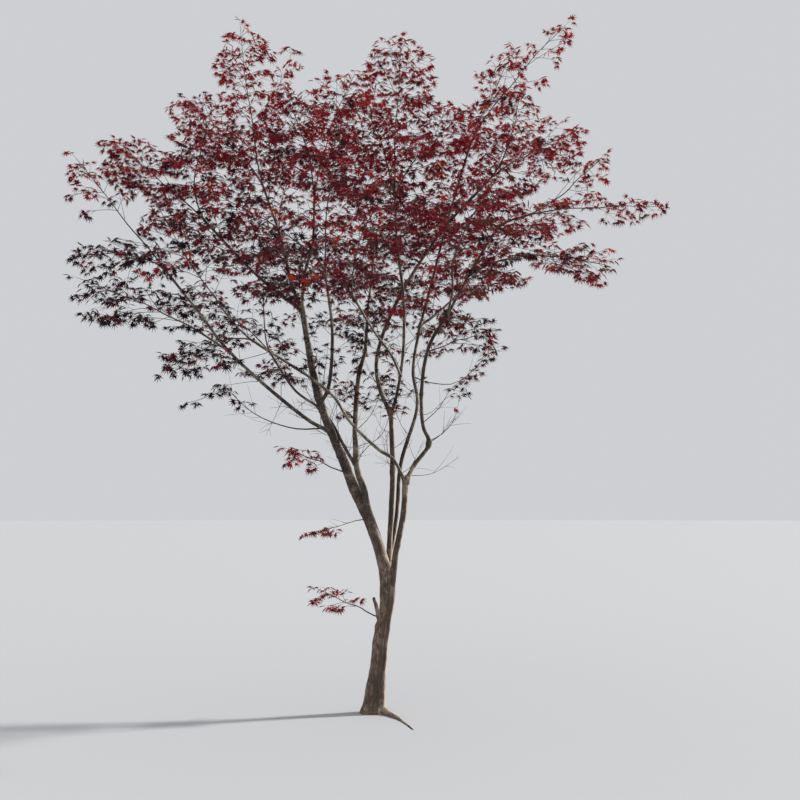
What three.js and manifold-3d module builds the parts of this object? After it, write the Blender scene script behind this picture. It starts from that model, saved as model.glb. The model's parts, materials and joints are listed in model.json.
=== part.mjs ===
// A garden Japanese maple, rooted in the ground: one leaning trunk that divides into a spray of thin
// stems, bare boughs, and a wide, open, layered crown of red leaves. Millimetres, +Z up, the origin at
// the middle of the flat cut at ground level. +X is to the right and -Y is towards the viewer.
import * as THREE from "three";
import { mergeVertices } from "three/addons/utils/BufferGeometryUtils.js";
import Module from "manifold-3d";

const wasm = await Module();
wasm.setup();

// Driving sizes
const CLEARANCE = 0.3; // the gap between pieces that meet
const TRUNK_SIDES = 12;
const TRUNK_STEPS = 12;
const FLARE = { height: 75, spread: 0.34, ridges: 5, ridgeDepth: 0.16, turn: 0.5 };
const SURFACE_ROOT = { radius: 34, tipRadius: 9 }; // the root that runs out over the ground
const COLLAR = { swell: 0.28, reach: 2.2 }; // how a bough thickens where it leaves its parent
const LIMB_SIDES = 6;
const LIMB_STEP = 300; // the length of a limb between two rings
const STOUT = 21; // from this radius a limb's bends are made with shorter steps
const STOUT_STEP = 170;
const STEM_RADIUS = { foot: 9, tip: 5.5 };
const SHARED_TIP = { offset: 0.54, radius: 0.44 }; // how stems share a limb's tip, as shares of its radius
const TWIG_RADIUS = { foot: 6, tip: 4.5 };
const COLLAR_HALF = 8; // half the length of the short step of a twig that side shoots and leaves grow from
const LEAST_OUTLOOK = 0.3; // the least cosine between a shoot and the face that it grows from
const TOUCH_VOLUME = 0.05; // what a shoot may share with its bearer round its root, in cubic millimetres
const TRIES = 10; // how often a twig or leaf is tried before it is skipped
const LEAF_LENGTH = { share: 0.6, longest: 240 }; // larger than life, by how far its mass spreads
const LEAF = { broadAt: 0.38, halfWidth: 0.34, rise: 0.016, sag: 0.014, drop: 0.12 }; // shares of its length
const STEM_LEAF_ROLLS = [0.3, 0, -0.3]; // how the leaf at a stem's end may lean to one side
const GOLDEN_ANGLE = Math.PI * (3 - Math.sqrt(5));
const CELL_FLATTENING = 1.6; // foliage lies in level layers, so upright distances count for more
const CELL_MARGIN = 4; // the least distance between two masses
const SEED = 41;

// The trunk's middle at each height, and its radius there before the root flare is added.
const TRUNK_ROUTE = [
  [-2, 0, -40, 78],
  [15, 0, 165, 73],
  [38, 0, 350, 65],
  [52, 0, 535, 58],
  [90, 0, 720, 49],
  [106, 0, 840, 57],
  [108, 0, 950, 58],
];
const SURFACE_ROOT_ROUTE = [
  [20, -10, 70],
  [105, -90, 22],
  [195, -280, 6],
  [290, -640, -8],
];

// Each limb: the limb that it leaves, its radius at foot and tip, and the places that it grows through.
const LIMBS = [
  {
    name: "left_stem",
    parent: "trunk",
    radii: [49, 21],
    route: [
      [100, -4, 945], [76, 2, 1095], [22, 30, 1280], [-50, 75, 1470], [-150, 120, 1665],
      [-228, 150, 1860], [-440, 200, 2390], [-580, 180, 3120],
    ],
  },
  {
    name: "right_stem",
    parent: "trunk",
    radii: [24, 22],
    route: [
      [141, -16, 945], [170, -32, 1190], [200, -42, 1340], [226, -46, 1480], [244, -50, 1755],
    ],
  },
  {
    name: "middle_stem",
    parent: "trunk",
    radii: [22, 19],
    route: [
      [108, 34, 945], [122, 62, 1270], [143, 95, 1780], [130, 150, 2300],
    ],
  },
  {
    name: "inner_stem",
    parent: "middle_stem",
    radii: [17, 12],
    route: [
      [118, 58, 1120], [174, 120, 1470], [206, 172, 1860], [338, 300, 2340], [306, 390, 2620],
      [370, 550, 3050],
    ],
  },
  {
    name: "centre_left",
    parent: "left_stem",
    radii: [26, 15],
    route: [
      [-48, 74, 1470], [-76, 60, 1660], [-125, 20, 1800], [-138, 50, 1940], [-150, 150, 2150],
      [-130, 380, 2600], [-80, 500, 2810],
    ],
  },
  {
    name: "rear_left",
    parent: "centre_left",
    radii: [13, 9],
    route: [
      [-128, 24, 1820], [-210, 80, 1960], [-400, 400, 2280], [-690, 800, 2520], [-950, 1130, 2900],
    ],
  },
  {
    name: "far_left",
    parent: "left_stem",
    radii: [15, 9],
    route: [
      [-370, 184, 2130], [-520, 100, 2210], [-1090, -150, 2700], [-1330, -220, 3010],
      [-1570, -270, 3310],
    ],
  },
  {
    name: "low_left",
    parent: "far_left",
    radii: [9, 7],
    route: [
      [-1085, -148, 2696], [-1200, -270, 2770], [-1320, -400, 2840],
    ],
  },
  {
    name: "left_riser",
    parent: "left_stem",
    radii: [15, 9],
    route: [
      [-430, 196, 2340], [-362, 90, 2440], [-310, -200, 2800], [-330, -760, 3190],
    ],
  },
  {
    name: "upper_left",
    parent: "left_stem",
    radii: [14, 9],
    route: [
      [-575, 182, 3080], [-790, 200, 3240], [-1010, 230, 3440], [-1390, 320, 3850],
    ],
  },
  {
    name: "upper_mid",
    parent: "left_stem",
    radii: [15, 9],
    route: [
      [-581, 186, 3090], [-680, 320, 3340], [-770, 490, 3700], [-950, 640, 4220],
    ],
  },
  {
    name: "upper_right",
    parent: "left_stem",
    radii: [13, 9],
    route: [
      [-578, 180, 3070], [-560, 210, 3370], [-500, 230, 3640], [-490, 250, 4010],
    ],
  },
  {
    name: "back_left",
    parent: "centre_left",
    radii: [14, 9],
    route: [
      [-84, 494, 2770], [-70, 720, 3160], [-40, 1000, 3560], [-30, 1290, 3960],
    ],
  },
  {
    name: "crossing_bough",
    parent: "right_stem",
    radii: [13, 8],
    route: [
      [244, -50, 1715], [145, -100, 1895], [40, -160, 1962], [-170, -300, 2160], [-300, -420, 2350],
      [-850, -800, 2700],
    ],
  },
  {
    name: "elbow_limb",
    parent: "right_stem",
    radii: [17, 12],
    route: [
      [244, -50, 1715], [305, -16, 1845], [424, 50, 2020], [380, 56, 2150], [366, 40, 2400],
      [420, -50, 2750], [570, -150, 3010],
    ],
  },
  {
    name: "right_limb",
    parent: "elbow_limb",
    radii: [11, 8],
    route: [
      [562, -146, 2990], [790, -290, 3390], [960, -360, 3630], [1170, -400, 3700],
    ],
  },
  {
    name: "right_low",
    parent: "right_limb",
    radii: [8, 7],
    route: [
      [720, -250, 3270], [880, -350, 3340], [1070, -550, 3345],
    ],
  },
  {
    name: "front_right",
    parent: "elbow_limb",
    radii: [9, 7],
    route: [
      [560, -140, 2980], [580, -500, 3090], [560, -960, 3190],
    ],
  },
  {
    name: "centre_right",
    parent: "middle_stem",
    radii: [17, 9],
    route: [
      [131, 146, 2250], [40, 148, 2460], [18, 122, 2680], [150, 150, 3090], [530, 200, 3720],
      [930, 150, 4150],
    ],
  },
  {
    name: "mid_riser",
    parent: "middle_stem",
    radii: [13, 9],
    route: [
      [132, 146, 2250], [184, 60, 2440], [224, -50, 2710], [228, -100, 3110], [180, -110, 3520],
      [160, -100, 3900],
    ],
  },
  {
    name: "front_left",
    parent: "mid_riser",
    radii: [10, 8],
    route: [
      [206, 10, 2540], [130, -200, 2680], [20, -420, 2800], [-130, -900, 2990],
    ],
  },
  {
    name: "back_right",
    parent: "inner_stem",
    radii: [12, 8],
    route: [
      [364, 540, 3010], [440, 600, 3300], [610, 600, 3960], [780, 480, 4520],
    ],
  },
  {
    name: "right_rear",
    parent: "inner_stem",
    radii: [12, 8],
    route: [
      [366, 544, 3020], [470, 650, 3110], [660, 1000, 3330], [840, 1300, 3580],
    ],
  },
];

// Each mass of foliage: its name, the limb that carries it, the middle of its space, and how far the space
// reaches sideways and up from there. A shoot leaves the side of its limb at the point given last.
const MASSES = [
  ["far_left_high", "far_left", [-2040, -400, 3900], 290, 220],
  ["far_left_mid", "far_left", [-2080, 0, 3440], 360, 160],
  ["low_left_tier", "low_left", [-1700, -600, 2990], 470, 170],
  ["crossing_low", "crossing_bough", [-1120, -980, 2560], 330, 180],
  ["crossing_front", "crossing_bough", [-1180, -1300, 3200], 440, 240],
  ["rear_left_tier", "rear_left", [-1320, 1000, 3200], 420, 230],
  ["rear_left_high", "rear_left", [-980, 1560, 3780], 470, 300],
  ["upper_left_outer", "upper_left", [-2020, 700, 4430], 385, 270],
  ["upper_left_inner", "upper_left", [-1290, -150, 4130], 410, 300],
  ["shoulder_left", "upper_mid", [-1450, 900, 4840], 385, 290],
  ["spire", "upper_mid", [-1080, 420, 5180], 280, 330],
  ["crest_left", "upper_right", [-575, -450, 4320], 400, 300],
  ["crest_back", "upper_right", [-270, 820, 5030], 360, 310],
  ["riser_left", "left_riser", [-760, -1150, 3420], 440, 270],
  ["riser_right", "left_riser", [-260, -1080, 3780], 420, 280],
  ["back_left_high", "back_left", [-190, 1250, 4480], 450, 330],
  ["back_left_low", "back_left", [-180, 1800, 3760], 470, 280],
  ["back_middle", "back_left", [370, 1740, 4200], 450, 305],
  ["front_left_low", "front_left", [-420, -1640, 3040], 420, 210],
  ["front_left_high", "front_left", [60, -1560, 3360], 430, 250],
  ["crest_mid", "mid_riser", [200, -50, 4950], 360, 280],
  ["mid_high", "mid_riser", [530, -100, 4350], 400, 290],
  ["mid_front", "mid_riser", [10, -740, 4180], 430, 290],
  ["right_tip", "right_limb", [1850, -450, 3730], 310, 90],
  ["right_upper", "right_limb", [1580, -250, 4060], 270, 150],
  ["right_low_tier", "right_low", [1370, -900, 3230], 380, 150],
  ["right_shoulder", "centre_right", [1440, 430, 4500], 350, 240],
  ["right_crest", "centre_right", [1005, -500, 4365], 330, 245],
  ["top_right", "back_right", [1045, 600, 5120], 320, 245],
  ["spur", "back_right", [1430, 330, 5320], 210, 190],
  ["right_rear_out", "right_rear", [1355, 950, 3945], 435, 260],
  ["right_rear_low", "right_rear", [900, 1560, 3660], 450, 250],
  ["front_right_tier", "front_right", [720, -1400, 3440], 450, 270],
  ["low_right", "elbow_limb", [660, -180, 2790], 290, 120, [412, -40, 2720]],
  ["stem_shoot", "left_stem", [-500, 60, 1910], 230, 110, [-228, 146, 1800]],
  ["trunk_shoot", "trunk", [-250, -120, 850], 230, 90, [52, 0, 700]],
];

const materialOf = (name, color, roughness) =>
  new THREE.MeshStandardMaterial({ name, color, roughness, metalness: 0 });
const BARK = materialOf("bark", 0x6a5a4b, 0.9);
const FOLIAGE = materialOf("foliage", 0x8e1420, 0.6);

// A seeded source of even random numbers from 0 to 1.
function seeded(seed) {
  let state = seed >>> 0;
  return () => {
    state = (state + 0x6d2b79f5) >>> 0;
    let mixed = Math.imul(state ^ (state >>> 15), state | 1);
    mixed ^= mixed + Math.imul(mixed ^ (mixed >>> 7), mixed | 61);
    return ((mixed ^ (mixed >>> 14)) >>> 0) / 4294967296;
  };
}

const vector = ([x, y, z]) => new THREE.Vector3(x, y, z);
const mix = (a, b, share) => a + (b - a) * share;
const curveThrough = (points) => new THREE.CatmullRomCurve3(points.map(vector), false, "centripetal");
const evenShares = (steps) => Array.from({ length: steps + 1 }, (_, i) => i / steps);
const UP = new THREE.Vector3(0, 0, 1);

// The middle, heading and two cross directions of a curve at each share of its length. The cross
// directions turn as little as they can from one place to the next.
function framesAlong(curve, shares, across) {
  const side = across.clone();
  return shares.map((share) => {
    const heading = curve.getTangentAt(share);
    side.addScaledVector(heading, -heading.dot(side)).normalize();
    const up = heading.clone().cross(side);
    return { share, middle: curve.getPointAt(share), heading, side: side.clone(), up };
  });
}

// The frames with both ends moved outward, to make a body longer by as much as it is made fatter.
function lengthened(frames, extra) {
  frames[0].middle.addScaledVector(frames[0].heading, -extra);
  frames.at(-1).middle.addScaledVector(frames.at(-1).heading, extra);
  return frames;
}

// A direction across a curve's start, level where it can be.
function levelAcross(heading) {
  const across = UP.clone().cross(heading);
  return across.lengthSq() > 0.01 ? across.normalize() : new THREE.Vector3(0, 1, 0);
}

function geometryOf(points, indices) {
  const positions = points.flatMap((point) => point.toArray());
  const geometry = new THREE.BufferGeometry();
  geometry.setAttribute("position", new THREE.Float32BufferAttribute(positions, 3));
  geometry.setIndex(indices);
  return geometry;
}

// The faces between one ring of points and the next, given by their numbers, split so that they bulge out.
// The next ring can be one point.
function stepFaces(points, last, next) {
  return last.flatMap((a, i) => {
    const b = last[(i + 1) % last.length];
    if (next.length === 1) {
      return [[a, b, next[0]]];
    }
    const [c, d] = [next[(i + 1) % next.length], next[i]];
    const [ab, ac, ad] = [b, c, d].map((j) => points[j].clone().sub(points[a]));
    return ab.dot(ac.cross(ad)) <= 0 ? [[a, b, c], [a, c, d]] : [[a, b, d], [b, c, d]];
  });
}

// The faces of a closed skin over rings of points of equal count. The last ring can be one point.
function skinFaces(rings) {
  const points = rings.flat();
  let first = 0;
  const numbered = rings.map((ring) => ring.map(() => first++));
  const walls = numbered.slice(1).flatMap((ring, i) => stepFaces(points, numbered[i], ring));
  const fan = (ring) => ring.slice(2).map((_, i) => [ring[0], ring[i + 1], ring[i + 2]]);
  return [...fan(numbered[0].toReversed()), ...walls, ...fan(numbered.at(-1))];
}

const skinGeometry = (rings) => geometryOf(rings.flat(), skinFaces(rings).flat());

// A ring of points round a place on a curve, with its radius given for each turn.
function ringOf(frame, sides, radiusAt, phase = 0) {
  return Array.from({ length: sides }, (_, i) => {
    const turn = phase + (i / sides) * 2 * Math.PI;
    const radius = radiusAt(turn);
    return frame.middle
      .clone()
      .addScaledVector(frame.side, radius * Math.cos(turn))
      .addScaledVector(frame.up, radius * Math.sin(turn));
  });
}

// A closed geometry as a solid that can be joined and cut.
function solidOf(geometry) {
  const bare = geometry.clone();
  bare.deleteAttribute("normal");
  bare.deleteAttribute("uv");
  const merged = mergeVertices(bare, 1e-4);
  return new wasm.Manifold(
    new wasm.Mesh({
      numProp: 3,
      vertProperties: merged.attributes.position.array,
      triVerts: new Uint32Array(merged.index.array),
    }),
  );
}

// The largest body of a solid: what a cut leaves loose is dropped.
function largestBody(solid) {
  return solid.decompose().reduce((best, body) => (body.volume() > best.volume() ? body : best));
}

function meshOf(name, solid, material) {
  const { numVert, vertProperties, numProp, triVerts } = solid.getMesh();
  const pointAt = (i) => new THREE.Vector3().fromArray(vertProperties, i * numProp);
  const points = Array.from({ length: numVert }, (_, i) => pointAt(i));
  const geometry = geometryOf(points, [...triVerts]);
  geometry.computeVertexNormals();
  const mesh = new THREE.Mesh(geometry, material);
  mesh.name = name;
  return mesh;
}

// The trunk's radius at a height, before the root flare is added.
function trunkRadius(height) {
  const above = TRUNK_ROUTE.findIndex(([, , z]) => z >= height);
  if (above <= 0) {
    return TRUNK_ROUTE.at(above)[3];
  }
  const [lower, upper] = [TRUNK_ROUTE[above - 1], TRUNK_ROUTE[above]];
  return mix(lower[3], upper[3], (height - lower[2]) / (upper[2] - lower[2]));
}

// The trunk: a taper up to the fork, with a ridged root flare and one root along the ground, all cut flat
// at ground level. With extra, it is that much fatter, to cut its neighbours clear.
function trunkSolid(extra = 0) {
  const curve = curveThrough(TRUNK_ROUTE.map(([x, y, z]) => [x, y, z]));
  const shares = evenShares(TRUNK_STEPS).map((share) => share ** 1.3);
  const frames = lengthened(framesAlong(curve, shares, new THREE.Vector3(1, 0, 0)), extra);
  const rings = frames.map((frame) => {
    const flare = FLARE.spread * Math.exp(-Math.max(0, frame.middle.z) / FLARE.height);
    const radius = trunkRadius(frame.middle.z);
    const ridge = (turn) => 1 + FLARE.ridgeDepth * Math.cos(FLARE.ridges * turn + FLARE.turn);
    return ringOf(frame, TRUNK_SIDES, (turn) => radius * (1 + flare * ridge(turn)) + extra);
  });
  const shaft = solidOf(skinGeometry(rings));
  const rootFrames = lengthened(framesAlong(curveThrough(SURFACE_ROOT_ROUTE), evenShares(6), UP), extra);
  const rootRadius = (share) => mix(SURFACE_ROOT.radius, SURFACE_ROOT.tipRadius, share ** 0.7) + extra;
  const rootRings = rootFrames.map((frame) => ringOf(frame, 8, () => rootRadius(frame.share)));
  const ground = new THREE.BoxGeometry(3000, 3000, 400).translate(0, 0, -200);
  return largestBody(shaft.add(solidOf(skinGeometry(rootRings))).subtract(solidOf(ground)));
}

// A limb's radius some way along it: an even taper, a little swollen at its foot.
function limbRadius(limb, share) {
  const collar = limb.collar * Math.exp((-share * limb.length) / (COLLAR.reach * limb.footRadius));
  return mix(limb.footRadius, limb.tipRadius, share) * (1 + collar);
}

// One tapering limb. With extra, it is that much fatter.
function limbSolid(limb, extra = 0) {
  const collarShares = [0, 1.5, 4].map((radii) => (radii * limb.footRadius) / limb.length);
  const step = limb.footRadius > STOUT ? STOUT_STEP : LIMB_STEP;
  const steps = Math.ceil((limb.length * (1 - collarShares[2])) / step);
  const rest = evenShares(steps).slice(1).map((share) => mix(collarShares[2], 1, share));
  const across = levelAcross(limb.curve.getTangentAt(0));
  const frames = lengthened(framesAlong(limb.curve, [...collarShares, ...rest], across), extra);
  const sides = limb.footRadius > 30 ? LIMB_SIDES + 2 : LIMB_SIDES;
  const rings = frames.map((frame) => ringOf(frame, sides, () => limbRadius(limb, frame.share) + extra));
  return solidOf(skinGeometry(rings));
}

// Every limb's piece, each cut clear of its parent and of the limbs made before it that it meets.
function growLimbs() {
  const grown = new Map();
  const wides = [trunkSolid(CLEARANCE)];
  for (const { name, parent, radii, route } of LIMBS) {
    const curve = curveThrough(route);
    const [footRadius, tipRadius] = radii;
    const limb = { name, parent, footRadius, tipRadius, curve, length: curve.getLength(), collar: 0 };
    limb.tip = curve.getPointAt(1);
    limb.heading = curve.getTangentAt(1);
    if (grown.has(parent)) {
      limb.collar = Math.min(COLLAR.swell, Math.max(0, (grown.get(parent).tipRadius * 0.9) / footRadius - 1));
    }
    const wide = limbSolid(limb, CLEARANCE);
    limb.solid = largestBody(wides.reduce((solid, other) => solid.subtract(other), limbSolid(limb)));
    wides.push(wide);
    grown.set(name, limb);
  }
  return { grown, wideLimbs: wasm.Manifold.union(wides) };
}

// A twig's route: a curve from its foot that starts along heading and ends at tip.
function twigCurve(foot, heading, tip, pull) {
  const knee = foot.clone().addScaledVector(heading, foot.distanceTo(tip) * pull);
  return new THREE.QuadraticBezierCurve3(foot, knee, tip);
}

// The two last rings of a leaf: its broad part, which droops at both sides, and its point. The leaf starts
// at root, points along heading, and is rolled to one side by roll.
function leafRings(root, heading, { length, roll }) {
  const side = levelAcross(heading).applyAxisAngle(heading, roll);
  const up = heading.clone().cross(side);
  const at = (along, across, above) =>
    root
      .clone()
      .addScaledVector(heading, along * length)
      .addScaledVector(side, across * length)
      .addScaledVector(up, above * length);
  const { broadAt, halfWidth, rise, sag, drop } = LEAF;
  const broad = [at(broadAt, 0, rise), at(broadAt, -halfWidth, -sag), at(broadAt, halfWidth, -sag)];
  return [broad, [at(1, 0, -drop)]];
}

// The rings of a three-sided twig after its root, one at each share of its curve, and then a leaf's.
function shootRings(curve, shares, radius, leaf, extra = 0) {
  const frames = framesAlong(curve, shares, levelAcross(curve.getTangentAt(shares[0])));
  const rings = frames.map((frame) =>
    ringOf(frame, 3, () => mix(radius.foot, radius.tip, frame.share) + extra, Math.PI / 2),
  );
  const { middle, heading } = frames.at(-1);
  return [...rings, ...leafRings(middle, heading, leaf)];
}

// A ring as it is, and turned by each number of corners.
const turnsOf = (ring) => ring.map((_, shift) => [...ring.slice(shift), ...ring.slice(0, shift)]);

// The rings, each turned so that its corners follow on from those of the ring before it.
function alignedTo(root, rings) {
  let last = root;
  return rings.map((ring) => {
    if (ring.length > 1) {
      const turned = turnsOf(ring);
      const previous = last;
      const apart = turned.map((option) => option.reduce((sum, p, i) => sum + p.distanceTo(previous[i]), 0));
      last = turned[apart.indexOf(Math.min(...apart))];
      return last;
    }
    return ring;
  });
}

// Whether a skin over rings passes through itself: whether an edge goes through a face that it isn't part of.
function crossesItself(rings) {
  const points = rings.flat();
  const faces = skinFaces(rings);
  const sideOf = (i, j, k, m) => {
    const [ij, ik, im] = [j, k, m].map((other) => points[other].clone().sub(points[i]));
    return ij.dot(ik.cross(im)) > 0;
  };
  const goesThrough = ([m, n], [i, j, k]) =>
    ![i, j, k].some((corner) => corner === m || corner === n) &&
    sideOf(i, j, k, m) !== sideOf(i, j, k, n) &&
    sideOf(m, n, i, j) === sideOf(m, n, j, k) &&
    sideOf(m, n, j, k) === sideOf(m, n, k, i);
  const edges = faces.flatMap(([i, j, k]) => [[i, j], [j, k], [k, i]]).filter(([m, n]) => m < n);
  return edges.some((edge) => faces.some((face) => goesThrough(edge, face)));
}

// The rings aligned to a root, with the leaf's broad ring turned further where the skin would otherwise pass
// through itself. Nothing where no turn serves.
function fittedTo(root, rings) {
  const aligned = alignedTo(root, rings);
  const broad = aligned.length - 2;
  const turned = turnsOf(aligned[broad]).map((ring) => aligned.with(broad, ring));
  return turned.find((option) => !crossesItself([root, ...option]));
}

// One closed skin that shoots and leaves grow out of: each takes a small face of its bearer for its root.
class GrowingSkin {
  constructor(root) {
    this.points = [...root];
    this.faces = new Set([[0, 2, 1]]);
  }

  corners(face) {
    return face.map((i) => this.points[i]);
  }

  // Joins rings on to a root given by its corners' numbers, and gives back the faces of each step.
  extend(root, rings) {
    let last = root;
    return rings.map((ring) => {
      const first = this.points.length;
      this.points.push(...ring);
      const next = ring.map((_, i) => first + i);
      const faces = stepFaces(this.points, last, next);
      faces.forEach((face) => this.faces.add(face));
      last = next;
      return faces;
    });
  }

  // The face among some that looks most along a heading, if one does.
  faceTowards(faces, heading) {
    const looks = faces.map((face) => {
      const [a, b, c] = this.corners(face);
      const normal = b.clone().sub(a).cross(c.clone().sub(a)).normalize();
      return this.faces.has(face) ? normal.dot(heading) : -1;
    });
    const best = Math.max(...looks);
    return best > LEAST_OUTLOOK ? faces[looks.indexOf(best)] : null;
  }

  // Grows rings out of a face, which opens to them.
  growFrom(face, rings) {
    this.faces.delete(face);
    return this.extend(face, rings);
  }

  solid() {
    return solidOf(geometryOf(this.points, [...this.faces].flat()));
  }
}

// Whether all of a piece lies in a mass's own space: nearer to its middle than to any other mass's.
function inOwnCell(solid, own, masses) {
  const { vertProperties, numVert, numProp } = solid.getMesh();
  const distance = (point, middle) =>
    Math.hypot(point.x - middle.x, point.y - middle.y, (point.z - middle.z) * CELL_FLATTENING);
  const point = new THREE.Vector3();
  for (let i = 0; i < numVert; i++) {
    point.fromArray(vertProperties, i * numProp);
    const here = distance(point, own.middle) + CELL_MARGIN;
    if (masses.some((other) => other !== own && distance(point, other.middle) < here)) {
      return false;
    }
  }
  return true;
}

// Where a mass's stem starts: on its limb's side, or at its tip, where stems that share it stand in a ring.
function stemStart(mass, limbs, masses) {
  const limb = limbs.get(mass.on);
  if (mass.side) {
    const bearerRadius = limb ? limb.footRadius : trunkRadius(mass.side.z);
    const outward = mass.middle.clone().sub(mass.side).normalize();
    const foot = mass.side.clone().addScaledVector(outward, bearerRadius * 0.2);
    return { foot, heading: outward, footRadius: STEM_RADIUS.foot };
  }
  const { tip, heading, tipRadius } = limb;
  const foot = tip.clone().addScaledVector(heading, CLEARANCE);
  const sharing = masses.filter((other) => other.on === mass.on && !other.side);
  if (sharing.length === 1) {
    return { foot, heading, footRadius: tipRadius * 0.85 };
  }
  const side = levelAcross(heading);
  const up = heading.clone().cross(side);
  const turnOf = (other) => {
    const off = other.middle.clone().sub(tip);
    return Math.atan2(off.dot(up), off.dot(side));
  };
  const ordered = sharing.sort((one, other) => turnOf(one) - turnOf(other));
  const turn = turnOf(ordered[0]) + (ordered.indexOf(mass) / ordered.length) * 2 * Math.PI;
  foot.addScaledVector(side, tipRadius * SHARED_TIP.offset * Math.cos(turn));
  foot.addScaledVector(up, tipRadius * SHARED_TIP.offset * Math.sin(turn));
  return { foot, heading, footRadius: tipRadius * SHARED_TIP.radius };
}

// A mass's stem: from its bough through the middle of its space, with a leaf for its end.
function growStem(mass, limbs, masses) {
  const { foot, heading, footRadius } = stemStart(mass, limbs, masses);
  const outward = mass.middle.clone().sub(foot).normalize();
  const extent = Math.hypot(outward.x, outward.y) * mass.spread + Math.abs(outward.z) * mass.rise;
  const end = mass.middle.clone().addScaledVector(outward, Math.max(20, extent - mass.leafLength * 0.8));
  const curve = twigCurve(foot, heading, end, 0.3);
  const length = curve.getLength();
  const radius = { foot: Math.min(STEM_RADIUS.foot, footRadius), tip: STEM_RADIUS.tip };
  const inside = evenShares(40).find((share) => ellipsoidShare(mass, curve.getPointAt(share)) < 1) ?? 0.5;
  const first = Math.max(inside, mass.side ? 0.35 : 0.12);
  const pairs = mass.spread > 340 ? 4 : 3;
  const collars = evenShares(pairs).slice(0, pairs).map((share) => mix(first, 0.97, share));
  const half = COLLAR_HALF / length;
  const shares = [0, ...collars.flatMap((share) => [share - half, share + half]), 1];
  const leafWith = (roll) => ({ length: mass.leafLength, roll });
  const ringsWith = (roll, extra) => shootRings(curve, shares, radius, leafWith(roll), extra);
  const rolled = (roll) => {
    const [root, ...grown] = ringsWith(roll, 0);
    return { roll, root, rings: fittedTo(root, grown) };
  };
  const { roll, root, rings } = STEM_LEAF_ROLLS.map(rolled).find((option) => option.rings);
  const wide = ringsWith(roll, 2 * CLEARANCE);
  mass.skin = new GrowingSkin(root);
  const steps = mass.skin.extend([0, 1, 2], rings);
  mass.collars = collars.map((share, i) => ({ share, faces: steps[2 * i + 1] }));
  mass.stem = curve;
  mass.stemSolid = solidOf(skinGeometry([root, ...rings]));
  mass.stemWide = solidOf(skinGeometry(wide));
}

// How far out a point is in a mass's space: 1 at its rim. With within, the space is that much narrower.
function ellipsoidShare(mass, point, within = 1) {
  const off = point.clone().sub(mass.middle);
  return Math.hypot(off.x / (mass.spread * within), off.y / (mass.spread * within), off.z / mass.rise);
}

// How far a twig can go from a place in a mass's space before its leaf would pass the rim.
function reachFrom(mass, from, heading) {
  const within = Math.max(0.3, 1 - (mass.leafLength * 0.8) / mass.spread);
  const at = (reach) => ellipsoidShare(mass, from.clone().addScaledVector(heading, reach), within);
  let reach = mass.leafLength * 0.5;
  while (reach < mass.spread * 2 && at(reach) < 1) {
    reach += 10;
  }
  return reach;
}

const middleOf = (corners) => corners[0].clone().add(corners[1]).add(corners[2]).divideScalar(3);

// A try at a twig of a mass: it leaves a collar of the stem on one side, leaning forward, and bears collars
// of its own for leaves.
function twigTry(mass, collar, turn, random, attempt) {
  const along = mass.stem.getTangentAt(collar.share);
  const astray = attempt ? (random() - 0.5) * 1.2 : 0;
  const outward = levelAcross(along).applyAxisAngle(along, turn + astray);
  const lean = mix(0.75, 1.1, random());
  const heading = along.clone().multiplyScalar(Math.cos(lean)).addScaledVector(outward, Math.sin(lean));
  const leaf = { length: mass.leafLength * mix(0.9, 1.1, random()), roll: mix(-0.6, 0.6, random()) };
  const shoot = { heading };
  shoot.ringsFrom = (root) => {
    const foot = middleOf(root);
    const reach = reachFrom(mass, foot, heading) * (attempt > 5 ? 0.7 : 1);
    const tip = foot.clone().addScaledVector(heading, reach).addScaledVector(UP, -0.06 * reach);
    shoot.curve = twigCurve(foot, heading.clone().lerp(along, 0.3).normalize(), tip, 0.4);
    shoot.collarShares = reach > mass.leafLength * 1.25 ? [0.45, 0.78] : [0.6];
    const half = COLLAR_HALF / reach;
    const shares = [...shoot.collarShares.flatMap((share) => [share - half, share + half]), 1];
    return shootRings(shoot.curve, shares, TWIG_RADIUS, leaf);
  };
  return shoot;
}

// A try at a leaf on one side of a twig, spread nearly level and a little forward.
function leafTry(mass, twig, share, hand, random, attempt) {
  const heading = twig.getTangentAt(share);
  const spread = levelAcross(heading).applyAxisAngle(heading, (random() - 0.5) * (0.6 + attempt * 0.12));
  heading.multiplyScalar(0.45).addScaledVector(spread, hand);
  heading.z += mix(-0.4, 0.1, random());
  heading.normalize();
  const leaf = { length: mass.leafLength * mix(0.8, 1, random()), roll: mix(-0.7, 0.7, random()) };
  return { heading, ringsFrom: (root) => leafRings(middleOf(root), heading, leaf) };
}

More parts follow.
